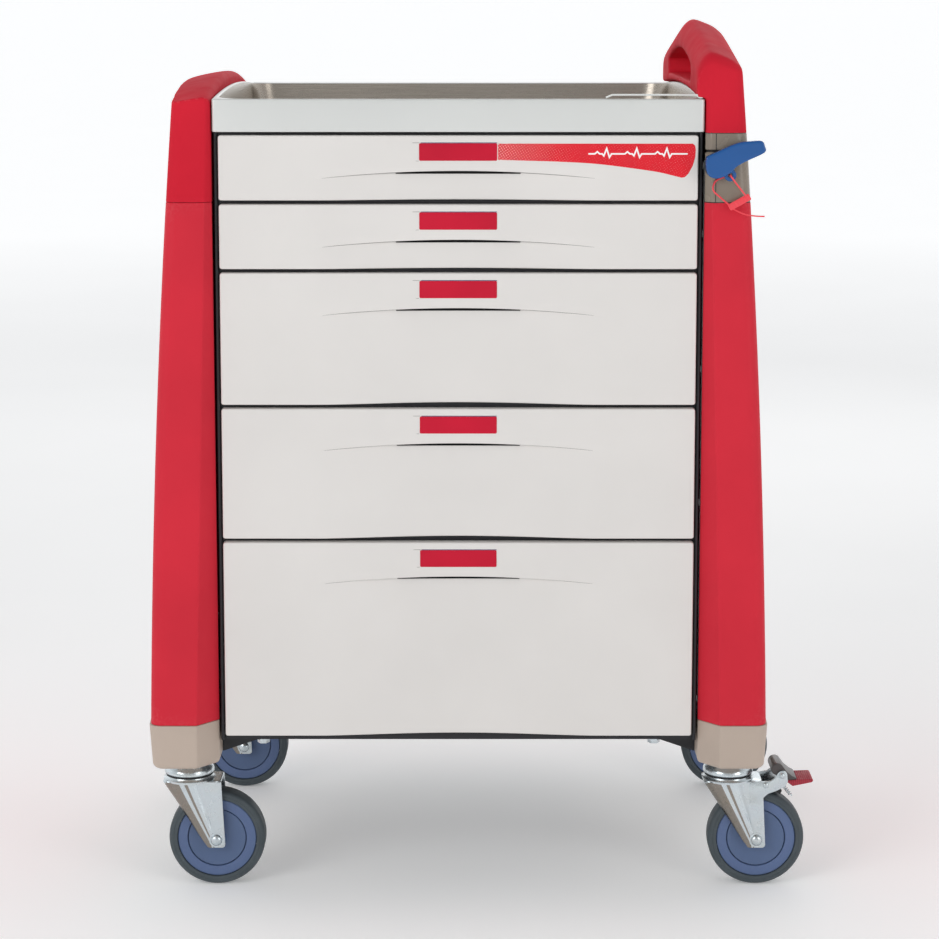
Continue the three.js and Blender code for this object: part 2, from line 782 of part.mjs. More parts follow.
// The lever points to the right and a little up, with a lug below for the seal.
function lockLever() {
  const shape = new THREE.Shape();
  shape.moveTo(-14.5, 4);
  shape.quadraticCurveTo(-14, 13, 2, 21);
  shape.quadraticCurveTo(24, 31, 42, 33);
  shape.lineTo(54, 33);
  shape.quadraticCurveTo(57.5, 30, 57.5, 19);
  shape.lineTo(37, 9);
  shape.quadraticCurveTo(24, 2, 15, -7);
  shape.quadraticCurveTo(-10, -16, -14.5, 4);
  const outline = shape.getPoints(5).slice(0, -1);
  const [x, z] = LEVER_PIVOT;
  const front = LEVER_PLANE - LEVER_THICKNESS;
  const arm = prism("y", outline.map(([u, v]) => [u + x, v + z]), front, LEVER_PLANE);
  const middle = LEVER_PLANE - LEVER_THICKNESS / 2;
  const lug = rod(
    "y",
    7.5,
    middle - LUG.thickness / 2,
    middle + LUG.thickness / 2,
    [x + LUG.x, 0, z + LUG.z],
  );
  const hole = rod("y", LUG.hole, front - 1, LEVER_PLANE + 1, [x + LUG.x + 2, 0, z + LUG.z - 2]);
  const around = rod("y", 8.5, front - 1, middle - LUG.thickness / 2, [
    x + LUG.x + 2,
    0,
    z + LUG.z - 2,
  ]);
  const behind = rod("y", 8.5, middle + LUG.thickness / 2, LEVER_PLANE + 1, [
    x + LUG.x + 2,
    0,
    z + LUG.z - 2,
  ]);
  const bore = rod("y", SPINDLE_RADIUS - 2 + GAP, LEVER_PLANE - 6, LEVER_PLANE + 1, [x, 0, z]);
  return cut(join(arm, lug), hole, around, behind, bore);
}

add("lock_lever", lockLever(), "blue");

const CRANK_REACH = 6.5; // sideways and down, spindle to crank pin

// The spindle goes through the band and ends in a crank beside the lock bar.
function lockSpindle() {
  const [x, z] = LEVER_PIVOT;
  const inner = LOCK_BAR.y - RUNNING;
  const tip = rod("y", SPINDLE_RADIUS - 2, LEVER_PLANE - 5.5, LEVER_PLANE + 1, [x, 0, z]);
  const shaft = rod("y", SPINDLE_RADIUS, LEVER_PLANE + GAP, inner, [x, 0, z]);
  const crank = prism(
    "y",
    [
      ...arc(x, z, SPINDLE_RADIUS + 3, -135, 45, 6),
      ...arc(x - CRANK_REACH, z - CRANK_REACH, 4, 45, 225, 4),
    ],
    inner - 3,
    inner,
  );
  return join(tip, shaft, crank);
}

add("lock_spindle", lockSpindle(), "steel");

// A vertical bar behind the right panel's front edge, with a tab for each drawer.
function lockBar() {
  const { x, y, width, depth } = LOCK_BAR;
  const bar = box(x, x + width, y, y + depth, BUMPER_TOP + 8, LEVER_PIVOT[1] + 6);
  return drawers.reduce((left, drawer) => {
    const low = drawer.bottom + TAB.above;
    const inner = HALF_CABINET - BEZEL_SIDE - 4;
    const tab = box(inner, x + 1, y, y + TAB.depth, low, low + TAB.height);
    return join(left, tab);
  }, bar);
}

add("lock_bar", lockBar(), "steel");

// A pull-tight plastic seal: a strap through the lever's lug, a tag and a loose tail.
function sealTag() {
  const [x, z] = LEVER_PIVOT;
  const middle = LEVER_PLANE - LEVER_THICKNESS / 2;
  const holeX = x + LUG.x + 2;
  const holeZ = z + LUG.z - 2;
  const tagX = x + 28;
  const tagZ = z - 42;
  const front = middle + 1;
  const tag = new THREE.BoxGeometry(29, 3, 8.5);
  tag.rotateY(THREE.MathUtils.degToRad(-29));
  tag.translate(tagX, front, tagZ);
  const strap = (points, radius) => {
    const curve = new THREE.CatmullRomCurve3(points.map((p) => new THREE.Vector3(...p)));
    const section = new THREE.Shape(
      arc(0, 0, radius, 0, 300, 5).map(([u, v]) => new THREE.Vector2(u, v)),
    );
    const tube = new THREE.ExtrudeGeometry(section, {
      steps: points.length * 3,
      extrudePath: curve,
      bevelEnabled: false,
    });
    return solid(tube);
  };
  const loop = strap(
    [
      [tagX - 11, front, tagZ - 5],
      [x + 4, front, z - 36],
      [x - 4.5, front + 1, z - 27],
      [x - 1, middle + 8.2, z - 17],
      [x + 9, middle + 8.8, z - 12],
      [holeX - 2, middle + 7, holeZ - 0.3],
      [holeX, middle + 2, holeZ],
      [holeX, middle - 3, holeZ],
      [holeX + 2, middle - 6, holeZ - 3],
      [x + 24, middle - 5, z - 20],
      [tagX + 9, front - 1, tagZ + 6],
    ],
    1.1,
  );
  const tail = strap(
    [
      [tagX - 9, front, tagZ - 4],
      [x + 20, front, z - 50],
      [x + 33, front, z - 56.5],
      [x + 46, front, z - 59],
      [x + 59, front, z - 59.7],
    ],
    1,
  );
  return join(solid(tag), loop, tail);
}

add("seal_tag", sealTag(), "coral");

// ---------------------------------------------------------------- casters

const FORK = { crown: 141, plate: 4, cheek: 3, inner: TYRE_WIDTH / 2 + 5, race: 30 };
const AXLE_RADIUS = 4;
const HUB_RADIUS = 51;
const SEGMENTS = 36;
const BRAKE_PIVOT = [68, 148.4]; // from the swivel axis: x, and height

// A mounting head: a raceway, a flange under the bumper and a stem in the outrigger.
function casterHead() {
  const profile = [
    [0, FORK.crown + 5 + GAP],
    [FORK.race, FORK.crown + 5 + GAP],
    [FORK.race, FORK.crown + 13],
    [FORK.race - 8, CASTER_HEIGHT - 5],
    [FORK.race + 2, CASTER_HEIGHT - 5],
    [FORK.race + 2, CASTER_HEIGHT - GAP],
    [BOSS_RADIUS, CASTER_HEIGHT - GAP],
    [BOSS_RADIUS, CASTER_HEIGHT + PANEL_WALL + GAP],
    [STEM_RADIUS, CASTER_HEIGHT + PANEL_WALL + GAP],
    [STEM_RADIUS, STACK_BOTTOM - 3],
    [0, STACK_BOTTOM - 3],
  ];
  return turned("z", profile, [0, 0, 0], 24);
}

// One cheek's outline, seen along the axle. The braked fork has an arm for the pedal.
function cheekOutline(braked) {
  const axleX = CASTER_TRAIL;
  const axleZ = WHEEL_RADIUS;
  const arm = [
    [44, 118],
    [50, 124.5],
    [60, 128],
    [72, 134],
    [75.5, 141],
    ...arc(...BRAKE_PIVOT, 6.5, -10, 150, 5),
    [59, FORK.crown + 2],
  ];
  return [
    [-33, FORK.crown],
    [-32, FORK.crown - 6],
    [axleX - 13, axleZ - 8],
    [axleX - 9, axleZ - 10.5],
    [axleX + 9, axleZ - 10.5],
    [axleX + 11.5, axleZ - 7],
    ...(braked ? arm : []),
    [43, FORK.crown],
  ];
}

function casterFork(braked) {
  const outer = FORK.inner + FORK.cheek;
  const crown = prism(
    "z",
    roundedRectangle(-33, 43, -outer, outer, 9),
    FORK.crown - FORK.plate,
    FORK.crown,
  );
  const race = rod("z", FORK.race, FORK.crown - 1, FORK.crown + 5, [0, 0, 0]);
  const cheek = prism("y", cheekOutline(braked), FORK.inner, outer);
  const otherCheek = prism("y", cheekOutline(braked), -outer, -FORK.inner);
  const axleHole = rod("y", AXLE_RADIUS + GAP, -outer - 1, outer + 1, [
    CASTER_TRAIL,
    0,
    WHEEL_RADIUS,
  ]);
  const fork = join(crown, race, cheek, otherCheek);
  if (!braked) return cut(fork, axleHole);
  const pinHole = rod("y", 3 + GAP, -outer - 1, outer + 1, [BRAKE_PIVOT[0], 0, BRAKE_PIVOT[1]]);
  return cut(fork, axleHole, pinHole);
}

// The axle is a bolt with its head and nut outside the cheeks.
function casterAxle() {
  const outer = FORK.inner + FORK.cheek + GAP;
  const profile = [
    [0, -outer - 5],
    [5, -outer - 5],
    [8, -outer - 2.5],
    [8, -outer],
    [AXLE_RADIUS, -outer],
    [AXLE_RADIUS, outer],
    [8, outer],
    [8, outer + 5],
    [0, outer + 5],
  ];
  return turned("y", profile, [CASTER_TRAIL, 0, WHEEL_RADIUS], 12);
}

function wheelHub() {
  const half = TYRE_WIDTH / 2 - 2;
  const face = [
    [AXLE_RADIUS + GAP, half + 4],
    [12, half + 4],
    [14, half],
    [HUB_RADIUS, half],
  ];
  const profile = [...face, ...face.map(([r, y]) => [r, -y]).reverse()];
  return turned("y", profile, [CASTER_TRAIL, 0, WHEEL_RADIUS], SEGMENTS);
}

// Flats of the faceted tread lie at the wheel's true radius, so that it stands on one.
function wheelTyre() {
  const half = TYRE_WIDTH / 2;
  const tread = WHEEL_RADIUS / Math.cos(Math.PI / SEGMENTS);
  const side = [
    [HUB_RADIUS + GAP, half],
    [tread - 4, half],
    [tread, half - 7],
  ];
  const profile = [...side, ...side.map(([r, y]) => [r, -y]).reverse()];
  return turned("y", profile, [CASTER_TRAIL, 0, WHEEL_RADIUS], SEGMENTS);
}

// A pressed lever with a rolled end, pivoted between the arms of the braked fork.
function brakePedal() {
  const [x, z] = BRAKE_PIVOT;
  const half = FORK.inner - RUNNING;
  const outline = [
    ...arc(x - 6, z + 8, 8, 30, 250, 8),
    [x + 4, z - 5],
    [x + 12, z - 6],
    [x + 38, z - 3.5],
    [x + 38, z - 0.5],
    [x + 12, z - 1],
    [x + 7, z + 5],
  ];
  const lever = prism("y", outline, -half, half);
  const outer = FORK.inner + FORK.cheek + 1.5;
  const pin = rod("y", 3, -outer, outer, [x, 0, z]);
  return join(lever, pin);
}

// The plastic foot pad clipped over the lever's end.
function brakePad() {
  const [x, z] = BRAKE_PIVOT;
  const outline = [
    [x + 12, z - 1 + 2 * GAP],
    [x + 38 + GAP, z - 0.5 + GAP],
    [x + 38 + GAP, z - 3.5 - GAP],
    [x + 13, z - 6 - 2 * GAP],
    [x + 13, z - 11],
    [x + 20, z - 15],
    [x + 38, z - 11],
    [x + 41, z - 7],
    [x + 41, z - 1],
    [x + 36, z + 5],
    [x + 16, z + 2],
  ];
  return prism("y", outline, -FORK.inner, FORK.inner);
}

const SHOE_CLEARANCE = 3;

// A curved shoe over the tyre, held just clear of it.
function brakeShoe() {
  const clear = WHEEL_RADIUS / Math.cos(Math.PI / SEGMENTS) + SHOE_CLEARANCE;
  const centre = [CASTER_TRAIL, WHEEL_RADIUS];
  const outline = [...arc(...centre, clear, 80, 62, 4), ...arc(...centre, clear + 5, 62, 80, 4)];
  return prism("y", outline, -TYRE_WIDTH / 2 + 3, TYRE_WIDTH / 2 - 3);
}

const corners = [
  { name: "front_left", x: -CASTER_X, y: -CASTER_Y },
  { name: "front_right", x: CASTER_X, y: -CASTER_Y, braked: true },
  { name: "rear_left", x: -CASTER_X, y: CASTER_Y },
  { name: "rear_right", x: CASTER_X, y: CASTER_Y },
];

for (const { name, x, y, braked } of corners) {
  const caster = new THREE.Group();
  caster.position.set(x, y, 0);
  add(`${name}_head`, casterHead(), "steel", caster);
  add(`${name}_fork`, casterFork(braked), "steel", caster);
  add(`${name}_axle`, casterAxle(), "steel", caster);
  add(`${name}_hub`, wheelHub(), "hub", caster);
  add(`${name}_tyre`, wheelTyre(), "tyre", caster);
  if (braked) {
    add("brake_pedal", brakePedal(), "steel", caster);
    add("brake_pad", brakePad(), "red", caster);
    add("brake_shoe", brakeShoe(), "black", caster);
  }
  cart.add(caster);
}

// ---------------------------------------------------------------- origin

// The pedal sticks out on the right only, so the footprint's centre is off the centre plane.
const footprint = new THREE.Box3().setFromObject(cart);
cart.position.x = -(footprint.min.x + footprint.max.x) / 2;

const part = new THREE.Group();
part.add(cart);

export default part;
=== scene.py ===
import math

import bmesh
import bpy
import numpy as np
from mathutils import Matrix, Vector


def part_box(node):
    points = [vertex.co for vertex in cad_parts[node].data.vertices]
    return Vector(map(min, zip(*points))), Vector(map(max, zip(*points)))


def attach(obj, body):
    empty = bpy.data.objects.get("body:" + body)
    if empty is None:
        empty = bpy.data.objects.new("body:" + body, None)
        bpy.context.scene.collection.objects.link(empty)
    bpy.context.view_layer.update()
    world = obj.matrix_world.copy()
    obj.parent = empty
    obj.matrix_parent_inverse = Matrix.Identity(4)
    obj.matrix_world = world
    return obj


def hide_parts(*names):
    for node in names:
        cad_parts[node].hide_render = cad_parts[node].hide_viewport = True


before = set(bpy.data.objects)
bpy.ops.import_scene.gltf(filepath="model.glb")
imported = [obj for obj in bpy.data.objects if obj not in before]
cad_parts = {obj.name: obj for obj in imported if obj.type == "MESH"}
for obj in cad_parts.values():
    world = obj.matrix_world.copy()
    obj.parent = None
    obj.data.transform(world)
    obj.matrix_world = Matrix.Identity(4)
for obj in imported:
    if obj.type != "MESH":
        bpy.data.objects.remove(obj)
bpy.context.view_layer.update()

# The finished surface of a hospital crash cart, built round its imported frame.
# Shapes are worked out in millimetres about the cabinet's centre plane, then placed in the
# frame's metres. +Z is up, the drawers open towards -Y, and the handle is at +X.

MM = 0.001


def box_mm(node):
    """A CAD node's box as (x0, x1, y0, y1, z0, z1), in millimetres about the centre plane."""
    low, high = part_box(node)
    sides = (low.x - CENTRE_X, high.x - CENTRE_X, low.y, high.y, low.z, high.z)
    return tuple(side / MM for side in sides)


deck_low, deck_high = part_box("cabinet_top_deck")
CENTRE_X = (deck_low.x + deck_high.x) / 2

# ---------------------------------------------------------------- sizes, in millimetres

HALF_CABINET = box_mm("cabinet_top_deck")[1]
CABINET_REAR = box_mm("cabinet_back_wall")[3]
PANEL_INNER = HALF_CABINET + 1.8
PANEL_FOOT_WIDTH = HALF_CABINET + 86.8
PANEL_LEAN = 0.018
PANEL_BOW = 3.7e-5
PANEL_WALL = 4
SIDE_CROWN = 7
SIDE_DEPTH = (305, 290)  # half-depths at the panels' feet and at the worktop's lip
CHAMFER = ((26, 30), (5, 5))  # width and depth of the inner chamfer, at foot and lip
CORNER_RADIUS = 15
CREASE_RADIUS = 4.5
LIP_RADIUS = 1.5

BUMPER_BOTTOM = box_mm("right_bumper")[4]
BUMPER_TOP = box_mm("right_bumper")[5]
BAND_BOTTOM = box_mm("lock_band")[4]
BAND_TOP = box_mm("lock_band")[5]
WORKTOP_BOTTOM = box_mm("worktop_tray")[4]
WORKTOP_CROWN = 9
LIP_TOP = box_mm("worktop_tray")[5] - WORKTOP_CROWN
WORKTOP_FRONT = box_mm("worktop_tray")[2]
WORKTOP_RIM = 10
WORKTOP_FLOOR = WORKTOP_BOTTOM + 5

FRONT_HALF = box_mm("drawer_1_front")[1]
FRONT_PLANE = box_mm("drawer_1_front")[2]
FRONT_BACK = box_mm("drawer_1_front")[3]
ARC_BELOW = 43.5  # top of a drawer front to the top of its arched step
ARC_RADIUS = 1560
ARC_HALF = 172
PULL_HALF = 77
PULL_HEIGHT = 3.9
PULL_DEPTH = 11.5
SCOOP_DEPTH = 7
TALL_FRONT = 100  # fronts above this height have the deeper arch along their foot
RIM_STEPS = [0, 0.12, 0.5, 1.0, 1.7, 3.0]  # distances from a front's edge that get a line

LEVER = (HALF_CABINET + 14.8, BAND_TOP - 41.45)  # the lock's spindle, as x and z
LUG = (LEVER[0] + 16, LEVER[1] - 9)  # the eye that the seal goes through
CASTER_PLACE = (HALF_CABINET + 47.8, 210)
BASE_UNDERSIDE = 202
WHEEL_RADIUS = 62.5
TRAIL = 36
CHEEK = (21, 24)  # inner and outer faces of the fork's cheeks
CHEEK_GRID = (22, 36)
CROWN = (137, 141)
HEAD_FLANGE = BUMPER_BOTTOM - 0.3
PEDAL_PIVOT = (68, 148.4)
ARM_RIVET = (47, 136)


# ---------------------------------------------------------------- materials


def srgb(red, green, blue):
    """Linear colour from 0-255 display values."""

    def linear(value):
        value /= 255
        return value / 12.92 if value <= 0.04045 else ((value + 0.055) / 1.055) ** 2.4

    return (linear(red), linear(green), linear(blue), 1)


M = {}


class Shader:
    """A material's node tree, with its Principled BSDF. The material is kept in M."""

    def __init__(self, name):
        self.material = bpy.data.materials.new(name)
        M[name] = self.material
        self.material.use_nodes = True
        self.tree = self.material.node_tree
        self.surface = self.tree.nodes["Principled BSDF"]

    def node(self, kind, values=None, **settings):
        made = self.tree.nodes.new("ShaderNode" + kind)
        for key, value in settings.items():
            setattr(made, key, value)
        for key, value in (values or {}).items():
            if isinstance(value, bpy.types.NodeSocket):
                self.link(value, made.inputs[key])
            else:
                made.inputs[key].default_value = value
        return made

    def link(self, output, socket):
        """Links to a socket, or to the surface's socket of that name."""
        if isinstance(socket, str):
            socket = self.surface.inputs[socket]
        self.tree.links.new(output, socket)

    def set(self, **values):
        for key, value in values.items():
            self.surface.inputs[key.replace("_", " ")].default_value = value

    def place(self):
        return self.node("TexCoord").outputs["Object"]

    def noise(self, scale, detail=2.0, where=None, rough=0.5):
        where = where or self.place()
        values = {"Vector": where, "Scale": scale, "Detail": detail, "Roughness": rough}
        return self.node("TexNoise", values).outputs["Fac"]

    def ranged(self, value, low, high, start=0.3, end=0.7):
        values = {"Value": value, "From Min": start, "From Max": end, "To Min": low, "To Max": high}
        return self.node("MapRange", values).outputs["Result"]

    def mixed(self, factor, first, second):
        return self.node("Mix", {0: factor, 6: first, 7: second}, data_type="RGBA").outputs[2]

    def maths(self, operation, first, second=0.0):
        return self.node("Math", {0: first, 1: second}, operation=operation).outputs[0]

    def bump(self, height, depth, strength=1.0, before=None):
        values = {"Height": height, "Distance": depth, "Strength": strength}
        if before:
            values["Normal"] = before
        return self.node("Bump", values).outputs["Normal"]


def shade(colour, factor):
    return tuple(min(channel * factor, 1) for channel in colour[:3]) + (1,)


def moulded(
    name, colour, roughness=0.42, grain=1600, depth=0.00006, edge_highlight_and_wear=0.35, tone=0.06, gloss=0.5
):
    """Moulded plastic: a fine grain, faint cloudiness, and slightly paler edges: a painted highlight
    along sharp edges, broken up by scuffs like rubbed wear.
    """
    s = Shader(name)
    cloud = s.ranged(s.noise(7, 3), 0, 1)
    body = s.mixed(cloud, shade(colour, 1 - tone), shade(colour, 1 + tone))
    # Paler colour where the surface is pointy: a painted edge highlight, masked by scuff noise as
    # wear.
    edge = s.ranged(s.node("NewGeometry").outputs["Pointiness"], 0, edge_highlight_and_wear, 0.52, 0.62)
    scuffs = s.ranged(s.noise(260, 4), 0, 1, 0.45, 0.65)
    highlight_and_rub = s.maths("MULTIPLY", edge, scuffs)
    pale = tuple(channel + (1 - channel) * 0.3 for channel in colour[:3]) + (1,)
    s.link(s.mixed(highlight_and_rub, body, pale), "Base Color")
    s.link(s.ranged(s.noise(38, 4), roughness - 0.06, roughness + 0.07), "Roughness")
    fine = s.bump(s.noise(grain, 2), depth, 0.5)
    s.link(s.bump(s.noise(24, 2), 0.00012, 0.35, fine), "Normal")
    s.set(Specular_IOR_Level=gloss)


def painted(name, colour, roughness=0.38, peel=420, metallic=0.0, dust=0.05):
    """Powder-coated sheet: a soft orange peel over an even colour."""
    s = Shader(name)
    cloud = s.ranged(s.noise(4, 3), 0, 1)
    s.link(s.mixed(cloud, shade(colour, 1 - dust), shade(colour, 1 + dust / 2)), "Base Color")
    s.link(s.ranged(s.noise(55, 4), roughness - 0.05, roughness + 0.07), "Roughness")
    s.link(s.bump(s.noise(peel, 1), 0.00005, 0.4), "Normal")
    s.set(Metallic=metallic)


def brushed(name, colour, along, roughness=0.3):
    """Brushed metal: fine scratches drawn out along one axis."""
    s = Shader(name)
    stretch = [900, 900, 900]
    stretch["xyz".index(along)] = 9
    spread = s.node("Mapping", {"Vector": s.place(), "Scale": stretch}).outputs["Vector"]
    lines = s.noise(1, 5, spread, 0.65)
    s.link(s.mixed(s.ranged(lines, 0, 1), shade(colour, 0.9), shade(colour, 1.06)), "Base Color")
    s.link(s.ranged(lines, roughness - 0.07, roughness + 0.1), "Roughness")
    s.link(s.bump(lines, 0.00003, 0.35), "Normal")
    s.set(Metallic=0.92)


def zinc(name, colour, roughness=0.24, yellow=0.35):
    """Bright zinc plate: a faint straw tint in patches, and a mottled shine."""
    s = Shader(name)
    patches = s.ranged(s.noise(38, 3), 0, yellow, 0.45, 0.75)
    tint = (colour[0] * 1.0, colour[1] * 0.93, colour[2] * 0.8, 1)
    grains = s.node("TexVoronoi", {"Vector": s.place(), "Scale": 700}).outputs["Distance"]
    body = s.mixed(patches, colour, tint)
    s.link(s.mixed(s.ranged(grains, 0.25, 0, 0, 0.6), body, shade(colour, 0.82)), "Base Color")
    s.link(s.ranged(s.noise(90, 4), roughness - 0.07, roughness + 0.14), "Roughness")
    s.link(s.bump(s.noise(60, 2), 0.00015, 0.3), "Normal")
    s.set(Metallic=0.95)


def rubbery(name, colour, roughness=0.62, grain=900, depth=0.0001):
    """Rubber: a dusty mottle and a close grain."""
    s = Shader(name)
    dust = s.ranged(s.noise(30, 5), 0, 0.55, 0.42, 0.75)
    s.link(s.mixed(dust, colour, shade(colour, 1.45)), "Base Color")
    s.link(s.ranged(s.noise(70, 3), roughness - 0.08, roughness + 0.12), "Roughness")
    s.link(s.bump(s.noise(grain, 3), depth, 0.55), "Normal")


def halftone(name, colour, start, end, pitch):
    """A printed film: white dots at one end that shrink away along X to the solid colour."""
    s = Shader(name)
    turned = s.node("Mapping", {"Vector": s.place(), "Rotation": (0, math.radians(35), 0)})
    parts = s.node("SeparateXYZ", {"Vector": turned.outputs["Vector"]})
    squares = []
    for axis in "XZ":
        cell = s.maths("MULTIPLY", parts.outputs[axis], 1 / pitch)
        offset = s.maths("SUBTRACT", s.maths("FRACT", cell), 0.5)
        squares.append(s.maths("MULTIPLY", offset, offset))
    radius = s.maths("SQRT", s.maths("ADD", *squares))
    along = s.node("SeparateXYZ", {"Vector": s.place()}).outputs["X"]
    size = s.ranged(along, 0.24, 0.05, start, end)
    dots = s.maths("LESS_THAN", radius, size)
    flecks = s.mixed(s.ranged(s.noise(60, 3), 0, 1), shade(colour, 0.95), shade(colour, 1.04))
    s.link(s.mixed(dots, flecks, (0.85, 0.8, 0.8, 1)), "Base Color")
    s.link(s.ranged(s.noise(45, 3), 0.3, 0.4), "Roughness")
    s.set(Specular_IOR_Level=0.2)


def ribbed(name, colour, pitch, roughness=0.6):
    """Soft plastic with fine moulded ribs across it, its colour painted darker in the ribs' hollows
    and paler on their crests as shade and highlight.
    """
    s = Shader(name)
    height = s.node("SeparateXYZ", {"Vector": s.place()}).outputs["X"]
    wave = s.maths("SINE", s.maths("MULTIPLY", height, 2 * math.pi / pitch))
    # Painted shade and highlight: darker in the rib hollows, paler on the crests.
    s.link(s.mixed(s.ranged(wave, 0, 1, -1, 1), shade(colour, 0.75), shade(colour, 1.1)), "Base Color")
    s.link(s.ranged(s.noise(120, 3), roughness - 0.08, roughness + 0.08), "Roughness")
    grain = s.bump(s.noise(1500, 2), 0.00008, 0.5)
    s.link(s.bump(wave, 0.0004, 0.7, grain), "Normal")


moulded("panel_red", srgb(208, 44, 60), 0.5, gloss=0.12)
moulded("cap_red", srgb(206, 38, 55), 0.6, gloss=0.03)
moulded("bumper_beige", srgb(186, 170, 157), 0.5, 1100, 0.00009, 0.2)
moulded("band_taupe", srgb(132, 121, 108), 0.26, 1300, 0.00003)
painted("bezel_black", srgb(13, 14, 22), 0.4)
painted("cabinet_white", srgb(214, 212, 208))
# The drawer fronts get a strong painted highlight along their edges.
moulded("drawer_white", srgb(222, 219, 216), 0.36, 900, 0.00003, 0.7, 0.02)
# Grey painted shade: under the drawer fronts' arched step and along the label holder's edges.
moulded("painted_shade_grey", srgb(120, 118, 118), 0.6, 900, 0.00005, 0.0)
moulded("tray_grey", srgb(196, 197, 198), 0.5)
# Black for real dark joints, and painted shade in the drawer pulls, the lock band's groove and the
# screws' cross recesses.
moulded("black_and_painted_shade", srgb(8, 8, 10), 0.6, 900, 0.00005, 0.0)
painted("worktop_silver", srgb(214, 216, 214), 0.36, 500, 0.3)
# A brushed finish darkened to brown-grey as a painted reflection, for the worktop's inside.
brushed("worktop_recess_painted_reflection", srgb(168, 160, 150), "x", 0.26)
zinc("runner_zinc", srgb(196, 200, 202), 0.34)
zinc("caster_zinc", srgb(206, 215, 220), 0.2)
# A darker zinc painted on the fork cheeks as the reflection of dark surroundings.
zinc("zinc_painted_dark_reflection", srgb(146, 140, 133), 0.24, 0.5)
brushed("brake_steel", srgb(92, 88, 88), "y", 0.34)
moulded("lever_blue", srgb(12, 80, 146), 0.2, 1800, 0.00002, 0.1)
moulded("seal_coral", srgb(238, 66, 78), 0.32, 1500, 0.00003, 0.2)
moulded("label_red", srgb(196, 24, 52), 0.5, 700, 0.00012, 0.0, 0.1, 0.15)
# A dark strip painted as the shadow line along the top of each drawer label.
moulded("label_top_painted_shadow", srgb(58, 48, 104), 0.4, 900, 0.00003, 0.0)
halftone("film_red", srgb(222, 34, 48), CENTRE_X + 0.04, CENTRE_X + 0.155, 0.0028)
moulded("film_white", srgb(246, 244, 244), 0.3, 1500, 0.00001, 0.0, 0.01)
ribbed("pedal_red", srgb(176, 44, 62), 0.0026)
rubbery("tyre_grey", srgb(66, 75, 80))
moulded("hub_blue", srgb(84, 104, 144), 0.42, 1400, 0.00005, 0.2)
moulded("hub_disc_blue", srgb(80, 100, 136), 0.46, 1400, 0.00005, 0.2)
# Black for the rubber brake shoe and bearing seal, and as painted shade in the hubs' groove.
rubbery("shoe_black", srgb(34, 34, 36))


# ---------------------------------------------------------------- mesh helpers


def row(points, side=1):
    """Points about the centre plane in millimetres, as points of the frame in metres."""
    points = np.asarray(points, float) * MM
    points[:, 0] = CENTRE_X + side * points[:, 0]
    return points


def placed(name, data):
    """A new object in the scene."""
    made = bpy.data.objects.new(name, data)
    bpy.context.scene.collection.objects.link(made)
    return made


def faced_outward(mesh, merge=False):
    """Turns a mesh's faces outward, after joining points that coincide if asked to."""
    work = bmesh.new()
    work.from_mesh(mesh)
    if merge:
        bmesh.ops.remove_doubles(work, verts=work.verts, dist=1e-7)
    bmesh.ops.recalc_face_normals(work, faces=work.faces)
    work.to_mesh(mesh)
    work.free()


def piece(name, form, material, body="cabinet", slot="", replaces=(), side=1, sharp=38, more=()):
    """A closed (points, faces) piece that rides on a body; more lists (material, faces).

    The slot argument has no effect.
    """
    points, faces = form
    mesh = bpy.data.meshes.new(name)
    mesh.from_pydata([tuple(p) for p in row(points, side)], [], [tuple(f) for f in faces])
    mesh.materials.append(M[material])
    for index, (extra, numbers) in enumerate(more, 1):
        mesh.materials.append(M[extra])
        for number in numbers:
            mesh.polygons[number].material_index = index
    faced_outward(mesh, merge=True)
    mesh.polygons.foreach_set("use_smooth", [True] * len(mesh.polygons))
    mesh.set_sharp_from_angle(angle=math.radians(sharp))
    made = placed(name, mesh)
    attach(made, body)
    if slot is not None:
        slot or material
    if replaces:
        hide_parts(*replaces)
    return made


def rounded_edges(made, width, segments=3, angle=35):
    """Rounds a piece's sharp edges, by millimetres."""
    bevel = made.modifiers.new("edges", "BEVEL")
    bevel.width = width * MM
    bevel.segments = segments
    bevel.limit_method = "ANGLE"
    bevel.angle_limit = math.radians(angle)
    bevel.harden_normals = True
    return made


def carried(node, material, bevel=0.0, segments=2):
    """A CAD node that stays in sight, with its material and softened edges."""
    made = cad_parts[node]
    made.data.materials.clear()
    made.data.materials.append(M[material])
    if bevel:
        rounded_edges(made, bevel, segments)
    return made


def loft(rings, caps=(True, True)):
    """Points and faces through closed rings of equal length."""
    count = len(rings[0])
    points = np.concatenate([np.asarray(ring, float) for ring in rings])
    faces = []
    for r in range(len(rings) - 1):
        for i in range(count):
            a, b = r * count + i, r * count + (i + 1) % count
            faces.append((a, b, b + count, a + count))
    last = (len(rings) - 1) * count
    if caps[0]:
        faces.append(tuple(range(count - 1, -1, -1)))
    if caps[1]:
        faces.append(tuple(range(last, last + count)))
    return points, faces


def lathe(profile, at, axis="y", segments=96):
    """A solid of revolution from [radius, along] points, from axis to axis or closed."""
    closed = profile[0][0] > 0.001
    turns = [2 * math.pi * i / segments for i in range(segments)]
    points, faces = [], []
    for radius, along in profile:
        for turn in turns:
            u, v = radius * math.cos(turn), radius * math.sin(turn)
            points.append((u, along, v) if axis == "y" else (u, v, along))
    points = np.asarray(points) + np.asarray(at, float)
    count = len(profile)
    for r in range(count if closed else count - 1):
        for i in range(segments):
            j = (i + 1) % segments
            a, b = r * segments, ((r + 1) % count) * segments
            faces.append((a + i, a + j, b + j, b + i))
    return points, faces


def together(*meshes):
    """Several (points, faces) as one."""
    points, faces, count = [], [], 0
    for some, their in meshes:
        points.append(np.asarray(some, float))
        faces += [tuple(i + count for i in face) for face in their]
        count += len(some)
    return np.concatenate(points), faces


